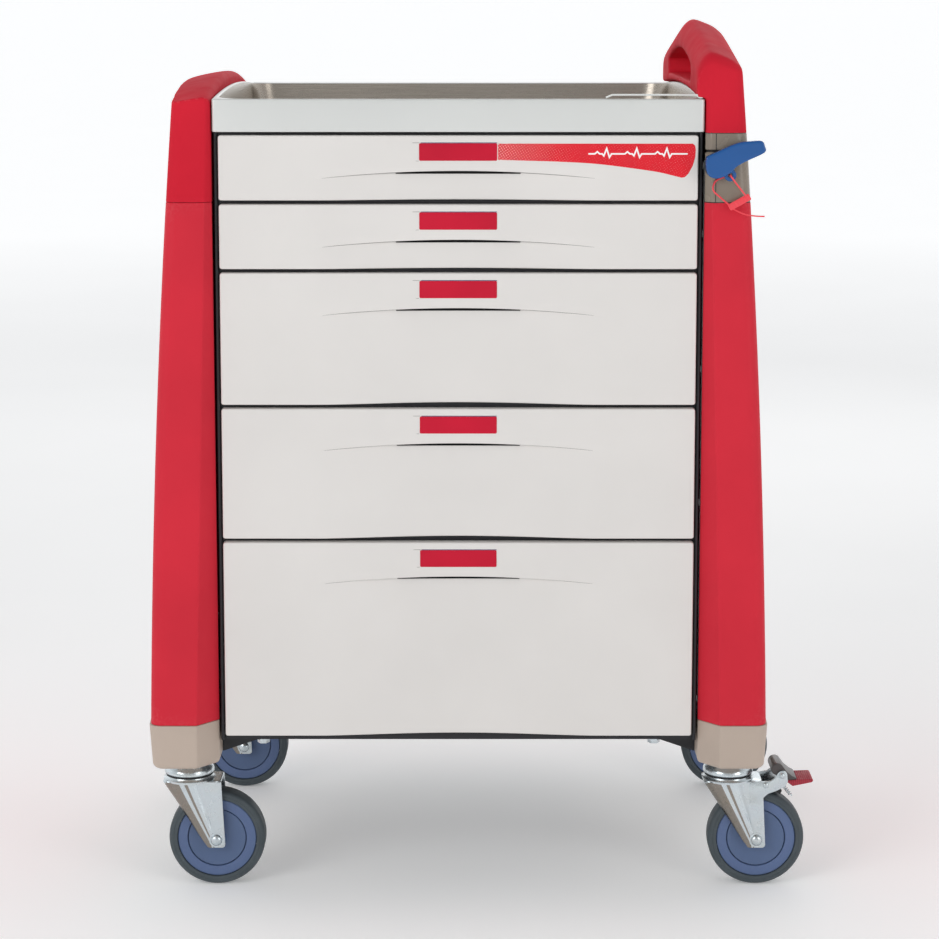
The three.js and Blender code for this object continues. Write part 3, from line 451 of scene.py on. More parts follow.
def filleted(corners, radii, steps=5):
    """An open plane path with each inner corner rounded."""
    corners = [np.asarray(c, float) for c in corners]
    path = [corners[0]]
    for before, corner, after, radius in zip(corners, corners[1:], corners[2:], radii):
        a = (before - corner) / np.linalg.norm(before - corner)
        b = (after - corner) / np.linalg.norm(after - corner)
        half = math.acos(max(-1, min(1, a @ b))) / 2
        middle = (a + b) / np.linalg.norm(a + b)
        centre = corner + middle * radius / math.sin(half)
        start = corner + a * radius / math.tan(half) - centre
        end = corner + b * radius / math.tan(half) - centre
        turn = math.pi - 2 * half
        for k in range(steps + 1):
            t = k / steps
            spread = math.sin((1 - t) * turn) * start + math.sin(t * turn) * end
            path.append(centre + spread / math.sin(turn))
    path.append(corners[-1])
    return np.array(path)


def curve_through(points, per=6):
    """A smooth path through points."""
    points = np.asarray(points, float)
    padded = np.vstack([2 * points[0] - points[1], points, 2 * points[-1] - points[-2]])
    made = []
    for p0, p1, p2, p3 in zip(padded, padded[1:], padded[2:], padded[3:]):
        for t in np.linspace(0, 1, per, endpoint=False):
            bend = (2 * p0 - 5 * p1 + 4 * p2 - p3) * t**2 + (3 * p1 - p0 - 3 * p2 + p3) * t**3
            made.append(0.5 * (2 * p1 + (p2 - p0) * t + bend))
    made.append(points[-1])
    return np.array(made)


def at_height(path, z):
    """A ring of [x, y, z] points from [x, y] points."""
    return np.column_stack([path, np.full(len(path), z)])


def arc(centre, radius, start, step, count):
    """Points round a centre, from a start angle in steps of degrees."""
    turns = [math.radians(start + step * k) for k in range(count)]
    return [(centre[0] + radius * math.cos(a), centre[1] + radius * math.sin(a)) for a in turns]


def turned(points, degrees):
    """Plane points turned about the origin."""
    a = math.radians(degrees)
    return np.asarray(points) @ [[math.cos(a), math.sin(a)], [-math.sin(a), math.cos(a)]]


def grid_border(across, up):
    """The numbers of the points round a grid of columns, each with up points."""
    last = (across - 1) * up
    border = [i * up for i in range(across)] + [last + k for k in range(1, up)]
    border += [i * up + up - 1 for i in range(across - 2, -1, -1)]
    return border + list(range(up - 2, 0, -1))


def mitred(corners, inset):
    """An open plane path's corners, moved to its left."""
    corners = np.asarray(corners, float)
    steps = np.diff(corners, axis=0)
    steps /= np.linalg.norm(steps, axis=1)[:, None]
    normals = np.stack([-steps[:, 1], steps[:, 0]], 1)
    moved = [corners[0] + normals[0] * inset]
    for corner, n0, n1 in zip(corners[1:-1], normals, normals[1:]):
        moved.append(corner + (n0 + n1) * inset / (1 + n0 @ n1))
    moved.append(corners[-1] + normals[-1] * inset)
    return np.array(moved)


def slab(outline, axis, low, high, edge=0.0, steps=3):
    """A plate from an outline of [u, v] points, with rounded rims, between low and high."""
    outline = np.asarray(outline, float)
    ahead, behind = np.roll(outline, -1, 0), np.roll(outline, 1, 0)
    tangent = ahead - behind
    tangent /= np.linalg.norm(tangent, axis=1)[:, None]
    area = np.sum(outline[:, 0] * ahead[:, 1] - ahead[:, 0] * outline[:, 1])
    inward = np.stack([-tangent[:, 1], tangent[:, 0]], 1) * np.sign(area)
    rings = []
    turns = [math.pi / 2 * k / steps for k in range(steps + 1)] if edge else [math.pi / 2]
    for turn in turns:
        rings.append((edge * (1 - math.sin(turn)), low + edge * (1 - math.cos(turn))))
    rings += [(inset, low + high - level) for inset, level in reversed(rings)]
    order = {"x": (2, 0, 1), "y": (0, 2, 1), "z": (0, 1, 2)}[axis]
    made = []
    for inset, level in rings:
        made.append(at_height(outline + inward * inset, level)[:, order])
    return loft(made)


def rounded_rectangle(x0, x1, y0, y1, radius, corner=8, along=12):
    """A closed ring of [x, y] points with the same count whatever its size."""
    ring = []
    for cx, cy, start in (
        (x1 - radius, y1 - radius, 0),
        (x0 + radius, y1 - radius, 90),
        (x0 + radius, y0 + radius, 180),
        (x1 - radius, y0 + radius, 270),
    ):
        ring.append(arc((cx, cy), radius, start, 90 / corner, corner + 1))
    points = []
    for bend, following in zip(ring, ring[1:] + ring[:1]):
        points += bend
        a, b = np.array(bend[-1]), np.array(following[0])
        points += [tuple(a + (b - a) * k / along) for k in range(1, along)]
    return np.array(points)


def tube(path, radius, sides=12):
    """A closed tube along a smooth path of [x, y, z] points."""
    dense = curve_through(path, 8)
    tangents = np.gradient(dense, axis=0)
    tangents /= np.linalg.norm(tangents, axis=1)[:, None]
    side = np.cross(tangents[0], (0.3, 0.5, 0.8))
    rings = []
    for point, tangent in zip(dense, tangents):
        side = side - tangent * (side @ tangent)
        side /= np.linalg.norm(side)
        up = np.cross(tangent, side)
        turns = [2 * math.pi * k / sides for k in range(sides)]
        rings.append([point + radius * (side * math.cos(a) + up * math.sin(a)) for a in turns])
    return loft(rings)


def smoothstep(value):
    value = min(max(value, 0), 1)
    return value * value * (3 - 2 * value)


def quarter(step, steps, radius):
    """(inset, height) along a quarter round, from its side to its top."""
    turn = math.pi / 2 * step / steps
    return radius * (1 - math.cos(turn)), radius * math.sin(turn)


# ---------------------------------------------------------------- side mouldings


def rise(z):
    """The share of the way from the bumper's top to the worktop's lip."""
    return (z - BUMPER_TOP) / (LIP_TOP - BUMPER_TOP)


def side_half_width(z):
    above = z - BUMPER_TOP
    return PANEL_FOOT_WIDTH - PANEL_LEAN * above - PANEL_BOW * above * above


def side_half_depth(z):
    return SIDE_DEPTH[0] + (SIDE_DEPTH[1] - SIDE_DEPTH[0]) * rise(z)


def side_path(z, inset=0.0, half_width=None):
    """The side mouldings' outline at a height, from the front inner edge round to the rear."""
    share = min(max(rise(z), 0), 1)
    wide, deep = (CHAMFER[0][k] + (CHAMFER[1][k] - CHAMFER[0][k]) * share for k in (0, 1))
    width = half_width or side_half_width(z)
    depth = side_half_depth(z)
    corners = [
        (PANEL_INNER, -depth + deep + 6),
        (PANEL_INNER, -depth + deep),
        (PANEL_INNER + wide, -depth),
        (width, -depth),
        (width, -depth / 2),
    ]
    radii = [max(r - inset, 0.3) for r in (LIP_RADIUS, CREASE_RADIUS, CORNER_RADIUS)]
    front = filleted(mitred(corners, inset), radii, 6)[:-1]
    straight = -front[-1][1]
    side = []
    for y in np.linspace(-straight, straight, 34)[1:-1]:
        side.append((width - inset + SIDE_CROWN * (1 - (y / straight) ** 2), y))
    rear = [(x, -y) for x, y in front[::-1]]
    return np.array([*front, *side, *rear])


def side_shell(name, levels, material, side, replaces=(), dark=None, slot=""):
    """A thin moulding through (height, inset) levels; dark is a band of heights in its groove, painted
    black there as the groove's shade.
    """
    rings = []
    for z, inset in levels:
        outer = side_path(z, inset)
        inner = side_path(z, PANEL_WALL)[::-1]
        rings.append(at_height(np.vstack([outer, inner]), z))
    points, faces = loft(rings, (False, False))
    count = len(rings[0])
    half = count // 2
    last = (len(rings) - 1) * count
    more = []
    if dark:
        inside = [k for k, (z, _) in enumerate(levels[:-1]) if dark[0] <= z < dark[1]]
        # Painted shade: the groove's faces in the dark band get black.
        more = [("black_and_painted_shade", [k * count + i for k in inside for i in range(half - 1)])]
    for i in range(half - 1):
        faces.append((i, count - 1 - i, count - 2 - i, i + 1))
        faces.append((last + i, last + i + 1, last + count - 2 - i, last + count - 1 - i))
    return piece(name, (points, faces), material, "cabinet", slot, replaces, side, 30, more)


def edge_levels(bottom, top, between, edge=1.3):
    """Levels with rounded ends and evenly spaced ones between."""
    ends = [(edge * (1 - math.sin(t)), edge * (1 - math.cos(t))) for t in (0, 0.5, 1.0, 1.5708)]
    low = [(bottom + up, inset) for inset, up in ends]
    high = [(top - up, inset) for inset, up in reversed(ends)]
    middle = [(z, 0.0) for z in np.linspace(bottom + edge, top - edge, between + 1)[1:-1]]
    return low + middle + high


for label, side in (("left", -1), ("right", 1)):
    levels = edge_levels(BUMPER_TOP + 0.3, BAND_BOTTOM - 0.3, 26)
    side_shell(f"{label}_panel_skin", levels, "panel_red", side, [f"{label}_side_panel"])


def lock_band_levels():
    groove = BAND_TOP - 22
    levels = edge_levels(BAND_BOTTOM, BAND_TOP, 12, 1.0)
    step = [(-3.2, 0), (-2.6, 0.5), (-1.2, 1.8), (1.6, 1.8), (2.2, 0)]
    kept = [level for level in levels if abs(level[0] - groove) > 3.5]
    return sorted(kept + [(groove + up, inset) for up, inset in step])


# The groove's faces between these heights are painted black as the groove's shade.
painted_groove_shade = (BAND_TOP - 23.5, BAND_TOP - 20.5)
side_shell("lock_band_skin", lock_band_levels(), "band_taupe", 1, ["lock_band"], painted_groove_shade)


def band_seams():
    """Dark gaskets above and below the lock band, and the upright seam in its front."""
    for place, low, high in (
        ("upper", BAND_TOP - 0.2, BAND_TOP + 1.2),
        ("lower", BAND_BOTTOM - 0.9, BAND_BOTTOM + 0.4),
    ):
        levels = [(low, 0.5), (low + 0.1, 0.35), (high - 0.1, 0.35), (high, 0.5)]
        side_shell(f"band_gasket_{place}", levels, "black_and_painted_shade", 1, slot="bezel_black")
    seam = PANEL_INNER + 12
    rings = []
    for z in np.linspace(BAND_BOTTOM + 0.5, BAND_TOP - 0.5, 12):
        front, back = -side_half_depth(z) - 0.12, -side_half_depth(z) + 1
        strip = [(seam, front), (seam + 0.9, front), (seam + 0.9, back), (seam, back)]
        rings.append(at_height(strip, z))
    piece("band_front_seam", loft(rings), "black_and_painted_shade", slot="bezel_black")


band_seams()


def bumper(label, side):
    """A foot moulding with a soft lower edge and a fine step under the panel."""
    height = BUMPER_TOP - BUMPER_BOTTOM
    radius = 7

    def width(z):
        return PANEL_FOOT_WIDTH + 2 - 4 * (BUMPER_TOP - z) / height

    levels = [
        (BUMPER_BOTTOM + radius * (1 - math.cos(t)), radius * (1 - math.sin(t)))
        for t in np.linspace(0, math.pi / 2, 7)
    ]
    levels += [(z, 0.0) for z in np.linspace(BUMPER_BOTTOM + radius, BUMPER_TOP - 1, 6)[1:]]
    levels += [(BUMPER_TOP - 0.4, 0.3), (BUMPER_TOP, 1.0)]
    rings = []
    for z, inset in levels:
        rings.append(at_height(side_path(z, inset, width(z)), z))
    node = f"{label}_bumper"
    piece(f"{node}_skin", loft(rings), "bumper_beige", replaces=[node], side=side, sharp=30)


for label, side in (("left", -1), ("right", 1)):
    bumper(label, side)


def bare(name, points, faces):
    """An object for cutting with, kept out of the finished model."""
    mesh = bpy.data.meshes.new(name)
    mesh.from_pydata([tuple(p) for p in np.asarray(points) * MM], [], [tuple(f) for f in faces])
    faced_outward(mesh)
    return placed(name, mesh)


def applied(made):
    """The object's points and faces with its modifiers applied, in millimetres."""
    graph = bpy.context.evaluated_depsgraph_get()
    mesh = made.evaluated_get(graph).to_mesh()
    points = np.array([v.co for v in mesh.vertices]) / MM
    faces = [tuple(p.vertices) for p in mesh.polygons]
    made.evaluated_get(graph).to_mesh_clear()
    return points, faces


def carve(body, tools):
    """Boolean cuts on a body; tools lists (operation, object)."""
    for operation, tool in tools:
        cut = body.modifiers.new("cut", "BOOLEAN")
        cut.operation = operation
        cut.solver = "EXACT"
        cut.object = tool


def softened(body, tools, voxel, rounds):
    """The carved body, remeshed finely with its edges rounded off by smoothing."""
    carve(body, tools)
    remesh = body.modifiers.new("remesh", "REMESH")
    remesh.mode = "VOXEL"
    remesh.voxel_size = voxel * MM
    smooth = body.modifiers.new("smooth", "SMOOTH")
    smooth.factor = 0.5
    smooth.iterations = rounds
    made = applied(body)
    for spare in [body] + [tool for _, tool in tools]:
        bpy.data.objects.remove(spare)
    return made


def cut_flat(points, faces, height):
    """What lies above a height, closed with a flat face."""
    work = bmesh.new()
    verts = [work.verts.new(p) for p in points]
    for face in faces:
        work.faces.new([verts[i] for i in face])
    geometry = work.verts[:] + work.edges[:] + work.faces[:]
    cut = bmesh.ops.bisect_plane(
        work, geom=geometry, plane_co=(0, 0, height), plane_no=(0, 0, -1), clear_outer=True
    )
    rim = [e for e in cut["geom_cut"] if isinstance(e, bmesh.types.BMEdge)]
    bmesh.ops.holes_fill(work, edges=rim, sides=0)
    work.verts.index_update()
    points = np.array([v.co for v in work.verts])
    faces = [tuple(v.index for v in f.verts) for f in work.faces]
    work.free()
    return points, faces


def under_ridge(ridge, across, bottom):
    """What lies under an arched ridge; across lists [x, depth below the ridge]."""
    across = curve_through(across)
    rings = []
    for y in np.linspace(-320, 320, 161):
        ring = [(across[0][0], y, bottom)]
        ring += [(x, y, ridge(y) - below) for x, below in across]
        ring.append((across[-1][0], y, bottom))
        rings.append(ring)
    return loft(rings)


def side_block(bottom, top, steps):
    """The mouldings' outline as a solid between two heights."""
    return loft([at_height(side_path(z), z) for z in np.linspace(bottom, top, steps + 1)])


SPARE = 12  # how far the soft mouldings are made too long, then cut off flat


def left_cap():
    """The low cap on the left moulding, with its crest and corners rounded off."""
    peak = LIP_TOP + 25
    across = [(-10, 22), (0, 7), (3, 2.5), (9, 0), (30, 3), (49, 7.5), (54, 11), (58, 24), (64, 60)]
    across = [(PANEL_INNER + x, below) for x, below in across]
    body = bare("cap_body", *side_block(BAND_BOTTOM - SPARE, peak + 8, 10))

    def ridge(y):
        return peak - 23 * (y / 290) ** 2

    top = bare("cap_top", *under_ridge(ridge, across, BAND_BOTTOM - 2 * SPARE))
    points, faces = softened(body, [("INTERSECT", top)], 2.0, 8)
    form = cut_flat(on_ridge(points, ridge, across), faces, BAND_BOTTOM + 0.2)
    piece("left_cap_skin", form, "cap_red", replaces=["left_top_cap"], side=-1, sharp=50)


def handle_swell(peak):
    """The handle's inner side, which reaches in over the worktop's rim and follows its crown."""
    rings = []
    for y in np.linspace(-288.5, 288.5, 61):
        low = LIP_TOP + WORKTOP_CROWN * (1 - (y / 283) ** 2) + 1.8
        near, far = PANEL_INNER - 11.5, PANEL_INNER + 20
        section = [(near, low + 1), (near + 1, low), (far, low), (far, peak), (near, peak)]
        rings.append([(x, y, z) for x, z in section])
    return loft(rings)


def on_ridge(points, ridge, across):
    """Points near the arched top laid exactly on it, so that it shows no steps."""
    across = curve_through(across)
    below = np.interp(points[:, 0], across[:, 0], across[:, 1])
    steepness = np.diff(across[:, 1]) / np.diff(across[:, 0])
    slope = np.interp(points[:, 0], across[:-1, 0], steepness)
    gap = np.array([ridge(y) for y in points[:, 1]]) - below - points[:, 2]
    weight = np.clip((1.7 - np.abs(gap)) / 1.0, 0, 1) * np.clip(2 - np.abs(slope), 0, 1)
    laid = points.copy()
    laid[:, 2] += weight * gap
    return laid


def grip_opening():
    """The long hole through the handle, flat below and arched above."""
    floor, half = LIP_TOP + 18, 184
    outline = filleted([(0, floor), (half, floor), (half, floor + 20)], [9], 6).tolist()[1:-1]
    ceiling = []
    for y in np.linspace(half, -half, 41):
        ceiling.append((y, floor + 20 + 19 * (1 - (y / half) ** 2)))
    lower = [(-y, z) for y, z in outline[::-1]]
    ring = outline + ceiling + lower
    return loft([[(x, y, z) for y, z in ring] for x in (PANEL_INNER - 60, PANEL_FOOT_WIDTH + 20)])


def handle():
    """The tall housing on the right, arched to a peak, with the hole to grip it by."""
    peak = LIP_TOP + 93.7
    across = [(-24, 70), (-13.5, 30), (-9, 16), (-2, 5), (7, 0), (21, 4), (36, 11.5), (48, 26)]
    across.append((60, 64))
    across = [(PANEL_INNER + x, below) for x, below in across]
    soft, round_end = 25, 20

    def ridge(y):
        fall = 39.5 * (math.hypot(y, soft) - soft) / (math.hypot(290, soft) - soft)
        past = min(max(abs(y) - (291 - round_end), 0), round_end)
        return peak - fall - round_end + math.sqrt(round_end**2 - past**2)

    body = bare("handle_body", *side_block(BAND_TOP - SPARE, peak + 8, 16))
    swell = bare("handle_swell", *handle_swell(peak + 5))
    top = bare("handle_top", *under_ridge(ridge, across, BAND_TOP - 2 * SPARE))
    hole = bare("handle_hole", *grip_opening())
    tools = [("UNION", swell), ("INTERSECT", top), ("DIFFERENCE", hole)]
    points, faces = softened(body, tools, 2.0, 10)
    form = cut_flat(on_ridge(points, ridge, across), faces, BAND_TOP + 0.5)
    piece("handle_skin", form, "cap_red", replaces=["handle_housing"], sharp=50)


left_cap()
handle()


# ---------------------------------------------------------------- worktop


def worktop():
    """A pressed tray: rounded rim, raised in the middle of its sides, and a filleted floor."""
    edge, fillet, corner = 1.6, 9.0, 34.0
    outer_corner = 3.5
    levels = [(1.2, 0, 0, outer_corner), (0.3, 0.4, 0, outer_corner), (0, 1.5, 0, outer_corner)]
    rim = LIP_TOP - WORKTOP_BOTTOM
    levels.append((0, rim - edge - 4, 1, outer_corner))
    rounds = [quarter(k, 5, edge) for k in range(6)]
    for inset, up in rounds:
        levels.append((inset, rim - edge + up, 1, outer_corner + inset))
    for inset, up in reversed(rounds):
        levels.append((WORKTOP_RIM - 4.5 - inset, rim - edge + up, 1, corner + inset))
    inside = len(levels) - 1
    floor = WORKTOP_FLOOR - WORKTOP_BOTTOM
    levels.append((WORKTOP_RIM - 1.2, floor + fillet + 6, 0.4, corner))
    for k in range(7):
        turn = math.pi / 2 * k / 6
        inset = WORKTOP_RIM + fillet * (1 - math.cos(turn))
        up = floor + fillet * (1 - math.sin(turn))
        levels.append((inset, up, 0, corner - (inset - WORKTOP_RIM)))
    levels.append((WORKTOP_RIM + fillet + 12, floor, 0, 20))
    middle = (WORKTOP_FRONT + CABINET_REAR) / 2
    half = (CABINET_REAR - WORKTOP_FRONT) / 2
    rings = []
    for inset, up, weight, radius in levels:
        width = HALF_CABINET - inset
        front, back = WORKTOP_FRONT + inset, CABINET_REAR - inset
        ring = rounded_rectangle(-width, width, front, back, radius, 8, 24)
        crown = WORKTOP_CROWN * (1 - ((ring[:, 1] - middle) / half) ** 2)
        height = WORKTOP_BOTTOM + up + weight * crown
        rings.append(np.column_stack([ring, height]))
    form = loft(rings)
    first, last = inside * len(rings[0]), len(form[1]) - 1
    # The inside of the tray gets a brushed finish whose darker brown-grey is a painted reflection.
    more = [("worktop_recess_painted_reflection", [*range(first, last - 1), last])]
    piece("worktop_skin", form, "worktop_silver", replaces=["worktop_tray"], sharp=40, more=more)


worktop()
carried("worktop_ledge", "worktop_silver", 0.7, 3)


# ---------------------------------------------------------------- drawer fronts


def arc_height(x, top):
    """Height of the arched step at x."""
    return top - ARC_BELOW - x * x / (2 * ARC_RADIUS)


def scoop(x):
    """Depth of the hollow under the arched step."""
    share = abs(x) / ARC_HALF
    return SCOOP_DEPTH * (1 - share * share) ** 1.1 if share < 1 else 0.0


def front_columns():
    """Where the fronts' lines run up: closer together by the rims and the pull's ends."""
    near = [FRONT_HALF - e for e in RIM_STEPS]
    edges = [PULL_HALF - 0.3, PULL_HALF + 0.3]
    inner = list(np.arange(-280, 281, 8.0))
    inner = [x for x in inner if abs(abs(x) - PULL_HALF) > 1.5]
    return sorted(set(inner + near + [-x for x in near] + edges + [-x for x in edges]))


def rim_depth(distance, radius=1.7):
    """How far a rounded rim falls back at a distance from the edge."""
    if distance >= radius:
        return 0.0
    return radius - math.sqrt(max(radius**2 - (radius - distance) ** 2, 0))


def front_column(x, low, top, rows):
    """(z, depth) points up one column of a drawer front, and the count up to the pull."""
    share = min(abs(x) / ARC_HALF, 1)
    tall = top - low > TALL_FRONT
    low += (2.6 if tall else 0.9) * (1 - share * share) ** 2
    arc = arc_height(x, top)
    deep = scoop(x)
    pull = abs(x) < PULL_HALF
    foot = top - ARC_BELOW - PULL_HEIGHT if pull else arc - 0.15 - 0.8 * (1 - share**4)
    back = PULL_DEPTH if pull else deep
    bottom_share = 0.72 if tall else 0.9
    column = []

    def lower_depth(z):
        share = (foot - z) / max(foot - low, 1)
        return deep * (1 - (1 - bottom_share) * smoothstep(share))

    for e in RIM_STEPS:
        column.append((low + e, lower_depth(low + e) + rim_depth(e)))
    for k in range(1, rows + 1):
        z = low + 3 + (foot - low - 3) * k / rows
        column.append((z, lower_depth(z)))
    first = len(column) - 1
    column.append((foot + 0.05, back))
    column.append((arc - 0.02, back))
    lip = min(back, 0.7)
    column.append((arc, lip))
    column.append((arc + 0.2 * min(back, 1), lip * 0.3))
    column.append((arc + 0.7 * min(back, 1) + 0.1, 0.0))
    for k in range(1, 5):
        column.append((arc + 1 + (top - 3 - arc - 1) * k / 4, 0.0))
    for e in RIM_STEPS[-2::-1]:
        column.append((top - e, rim_depth(e)))
    return column, first


def drawer_front(number):
    """A front with rounded rims, the arched step across it and the pull under that; the pull's hollow
    is painted black and a strip under the step painted grey, as shade.
    """
    name = f"drawer_{number}"
    _, _, _, _, low, top = box_mm(f"{name}_front")
    columns = front_columns()
    rows = max(6, int((top - low) / 11))
    grid, first = [], 0
    for x in columns:
        column, first = front_column(x, low, top, rows)
        side_fall = rim_depth(FRONT_HALF - abs(x))
        grid.append([(x, FRONT_PLANE + depth + side_fall, z) for z, depth in column])
    corner = 3.0
    for strip in grid:
        for k, (x, y, z) in enumerate(strip):
            u = (abs(x) - (FRONT_HALF - corner)) / corner
            v = max((z - (top - corner)) / corner, ((low + corner) - z) / corner)
            if u > 0 and v > 0:
                flat_u, flat_v = u * math.sqrt(1 - v * v / 2), v * math.sqrt(1 - u * u / 2)
                x = math.copysign(FRONT_HALF - corner + corner * flat_u, x)
                if z > top - corner:
                    z = top - corner + corner * flat_v
                else:
                    z = low + corner - corner * flat_v
                strip[k] = (x, y, z)
    wide, high = len(grid), len(grid[0])
    points = [p for strip in grid for p in strip]
    faces, dark, line = [], [], []
    for i in range(wide - 1):
        for k in range(high - 1):
            a = i * high + k
            middle = abs(columns[i] + columns[i + 1]) / 2
            # Faces painted as shade: black in the pull's hollow, grey just under the arched step.
            if first <= k <= first + 2 and middle < PULL_HALF + 0.1:
                dark.append(len(faces))
            elif first <= k <= first + 1 and middle < ARC_HALF:
                line.append(len(faces))
            faces.append((a, a + high, a + high + 1, a + 1))
    border = grid_border(wide, high)
    start = len(points)
    points += [(points[i][0], FRONT_BACK, points[i][2]) for i in border]
    count = len(border)
    for k in range(count):
        j = (k + 1) % count
        faces.append((border[k], border[j], start + j, start + k))
    faces.append(tuple(start + k for k in range(count)))
    more = [("black_and_painted_shade", dark), ("painted_shade_grey", line)]
    form, node = (points, faces), f"{name}_front"
    piece(f"{name}_fascia", form, "drawer_white", name, "", [node], sharp=34, more=more)


def drawer_label(number):
    """The red label strip, a dark strip along its top painted as the shadow line there, and thin grey
    lines painted as shade along its holder's edges.
    """
    name = f"drawer_{number}"
    x0, x1, y0, y1, z0, z1 = box_mm(f"{name}_label")
    outline = rounded_rectangle(x0, x1, z0, z1, 1.6, 5, 2)
    form, node = slab(outline, "y", y0, y1, 0.45), f"{name}_label"
    piece(f"{name}_insert", form, "label_red", name, replaces=[node], sharp=40)
    # The top strip is painted shadow; the two grey lines are painted shade along the holder's edges.
    edges = [((x0 + 1, x1), (z1 + 0.15, z1 + 0.95), "label_top_painted_shadow", "top")]
    edges.append(((x0 - 9, x0 + 0.5), (z1 + 0.35, z1 + 0.8), "painted_shade_grey", "upper"))
    edges.append(((x0 - 5, x0 - 0.5), (z0 - 0.5, z0 - 0.1), "painted_shade_grey", "lower"))
    for (u0, u1), (v0, v1), material, place in edges:
        strip = [(u0, (v0 + v1) / 2), (u0 + 2, v0), (u1, v0), (u1, v1), (u0 + 2, v1)]
        form = slab(strip, "y", FRONT_PLANE - 0.18, FRONT_PLANE + 0.3)
        piece(f"{name}_label_line_{place}", form, material, name, "drawer_white")


for number in range(1, 6):
    drawer_front(number)
    drawer_label(number)
    carried(f"drawer_{number}_tray", "tray_grey", 0.5)


def emergency_film():
    """A printed film on the top drawer: dots that run into solid colour, and a pulse line."""
    top = box_mm("drawer_1_front")[5]
    upper = top - 10
    lower = [(49, 29.8), (90, 31), (129, 32.3), (170, 34.8), (212, 39.9), (246, 44.9), (270, 50.6)]
    lower = [(x, top - below) for x, below in curve_through(lower, 5)]
    tip = [(275, top - 51.8), (279, top - 51.0), (283.5, top - 46.5), (288.5, top - 37)]
    end = [(291.3, top - 27), (292, top - 18), (291.2, top - 12.5), (288.5, upper)]
    ring = [tuple(p) for p in lower] + tip + end
    ring += [(x, upper) for x in np.linspace(270, 49, 12)]
    form = slab(ring, "y", FRONT_PLANE - 0.25, FRONT_PLANE + 0.3)
    piece("emergency_film", form, "film_red", "drawer_1", None)
    beat = [(0, 0), (8, 0), (11, 2.6), (14, 0), (17, 0)]
    beat += [(19, -2.4), (22.5, 6.6), (26, -4.2), (28.5, 0)]
    line = []
    for start in (160, 197, 234):
        line += [(start + x, y) for x, y in beat]
    line.append((282, 0))
    middle = upper - 12.5
    line = np.array([(x, middle + y) for x, y in line])
    half = 0.95
    left, right = mitred(line, half), mitred(line, -half)
    outline = np.vstack([left, right[::-1]])
    ring_front = at_height(outline, FRONT_PLANE - 0.42)[:, (0, 2, 1)]
    ring_back = ring_front + np.array([0, 0.3, 0])
    count = len(outline)
    points = np.vstack([ring_front, ring_back])
    faces = [(k, (k + 1) % count, count + (k + 1) % count, count + k) for k in range(count)]
    half_count = len(line)
    for k in range(half_count - 1):
        a, b = count - 1 - k, count - 2 - k
        faces.append((k, a, b, k + 1))
        faces.append((count + k, count + k + 1, count + b, count + a))
    piece("film_pulse_line", (points, faces), "film_white", "drawer_1", None)


emergency_film()


# ---------------------------------------------------------------- cabinet

for node, material, bevel in (
    ("front_bezel", "bezel_black", 0.6),
    ("base_frame", "bezel_black", 0.8),
    ("cabinet_left_wall", "cabinet_white", 0.4),
    ("cabinet_right_wall", "cabinet_white", 0.0),
    ("cabinet_back_wall", "cabinet_white", 0.4),
    ("cabinet_top_deck", "cabinet_white", 0.4),
    ("left_runner_rack", "runner_zinc", 0.0),
    ("right_runner_rack", "runner_zinc", 0.0),
    ("lock_bar", "runner_zinc", 0.4),
):
    carried(node, material, bevel)


SCREW_RADIUS = 4.2


def bezel_trim():
    """A rounded rubber strip down each side of the drawer opening."""
    bezel = box_mm("front_bezel")
    sides, depths = (FRONT_HALF + 1.6, HALF_CABINET - 0.6), (FRONT_PLANE + 7, bezel[2] + 1)
    strip = slab(rounded_rectangle(*sides, *depths, 1.9, 5, 2), "z", bezel[4] + 1, bezel[5] - 0.5, 0.4)
    for label, side in (("left", -1), ("right", 1)):
        piece(f"bezel_trim_{label}", strip, "bezel_black", side=side)


bezel_trim()


def screw():
    """A pan-head screw along Z, and the number of its first dark face: a black cross laid on the head
    as painted shade in its cross recess.
    """
    radius = SCREW_RADIUS
    dome = [(0, 1.9), (radius * 0.45, 1.8), (radius * 0.75, 1.35), (radius, 0.4), (radius, -0.6)]
    head = lathe([*dome, (0, -0.6)], (0, 0, 0), "z", 24)
    bar = rounded_rectangle(-radius * 0.5, radius * 0.5, -0.45, 0.45, 0.3, 2, 2)
    slots = [slab(turned(bar, degrees), "z", 1.3, 1.95) for degrees in (0, 90)]
    points, faces = together(head, *slots)
    return points, faces, len(head[1])


def rear_screws(name, places):
    """Screws that face the rear, as one piece."""
    points, faces, start = screw()
    upright = points[:, (0, 2, 1)] * (-1, 1, 1)
    meshes = [(upright + np.array(place), faces) for place in places]
    dark = []
    for number in range(len(places)):
        dark += range(number * len(faces) + start, (number + 1) * len(faces))
    # The cross recesses are painted black as shade.
    form, more = together(*meshes), [("black_and_painted_shade", dark)]
    piece(name, form, "caster_zinc", sharp=40, more=more)


def back_details():
    """Pressed stiffening panels and perimeter screws on the back sheet."""
    x0, x1, _, rear, z0, z1 = box_mm("cabinet_back_wall")
    margin = 46
    panels = []
    for low, high in ((z0 + margin, (z0 + z1) / 2 - 16), ((z0 + z1) / 2 + 16, z1 - margin)):
        rings = []
        for inset, out in ((0, -0.5), (0, 0.2), (3, 2.2), (5, 2.8), (9, 3.0)):
            sides, ends = (x0 + margin + inset, x1 - margin - inset), (low + inset, high - inset)
            ring = rounded_rectangle(*sides, *ends, 26 - inset, 8, 8)
            rings.append([(x, rear + out, z) for x, z in ring])
        panels.append(loft(rings))
    piece("back_panel_pressings", together(*panels), "cabinet_white", sharp=40)
    edge = 16
    places = []
    for z in np.linspace(z0 + edge, z1 - edge, 6):
        places += [(x0 + edge, rear, z), (x1 - edge, rear, z)]
    for x in np.linspace(x0 + edge, x1 - edge, 5)[1:-1]:
        places += [(x, rear, z0 + edge), (x, rear, z1 - edge)]
    rear_screws("back_panel_screws", places)


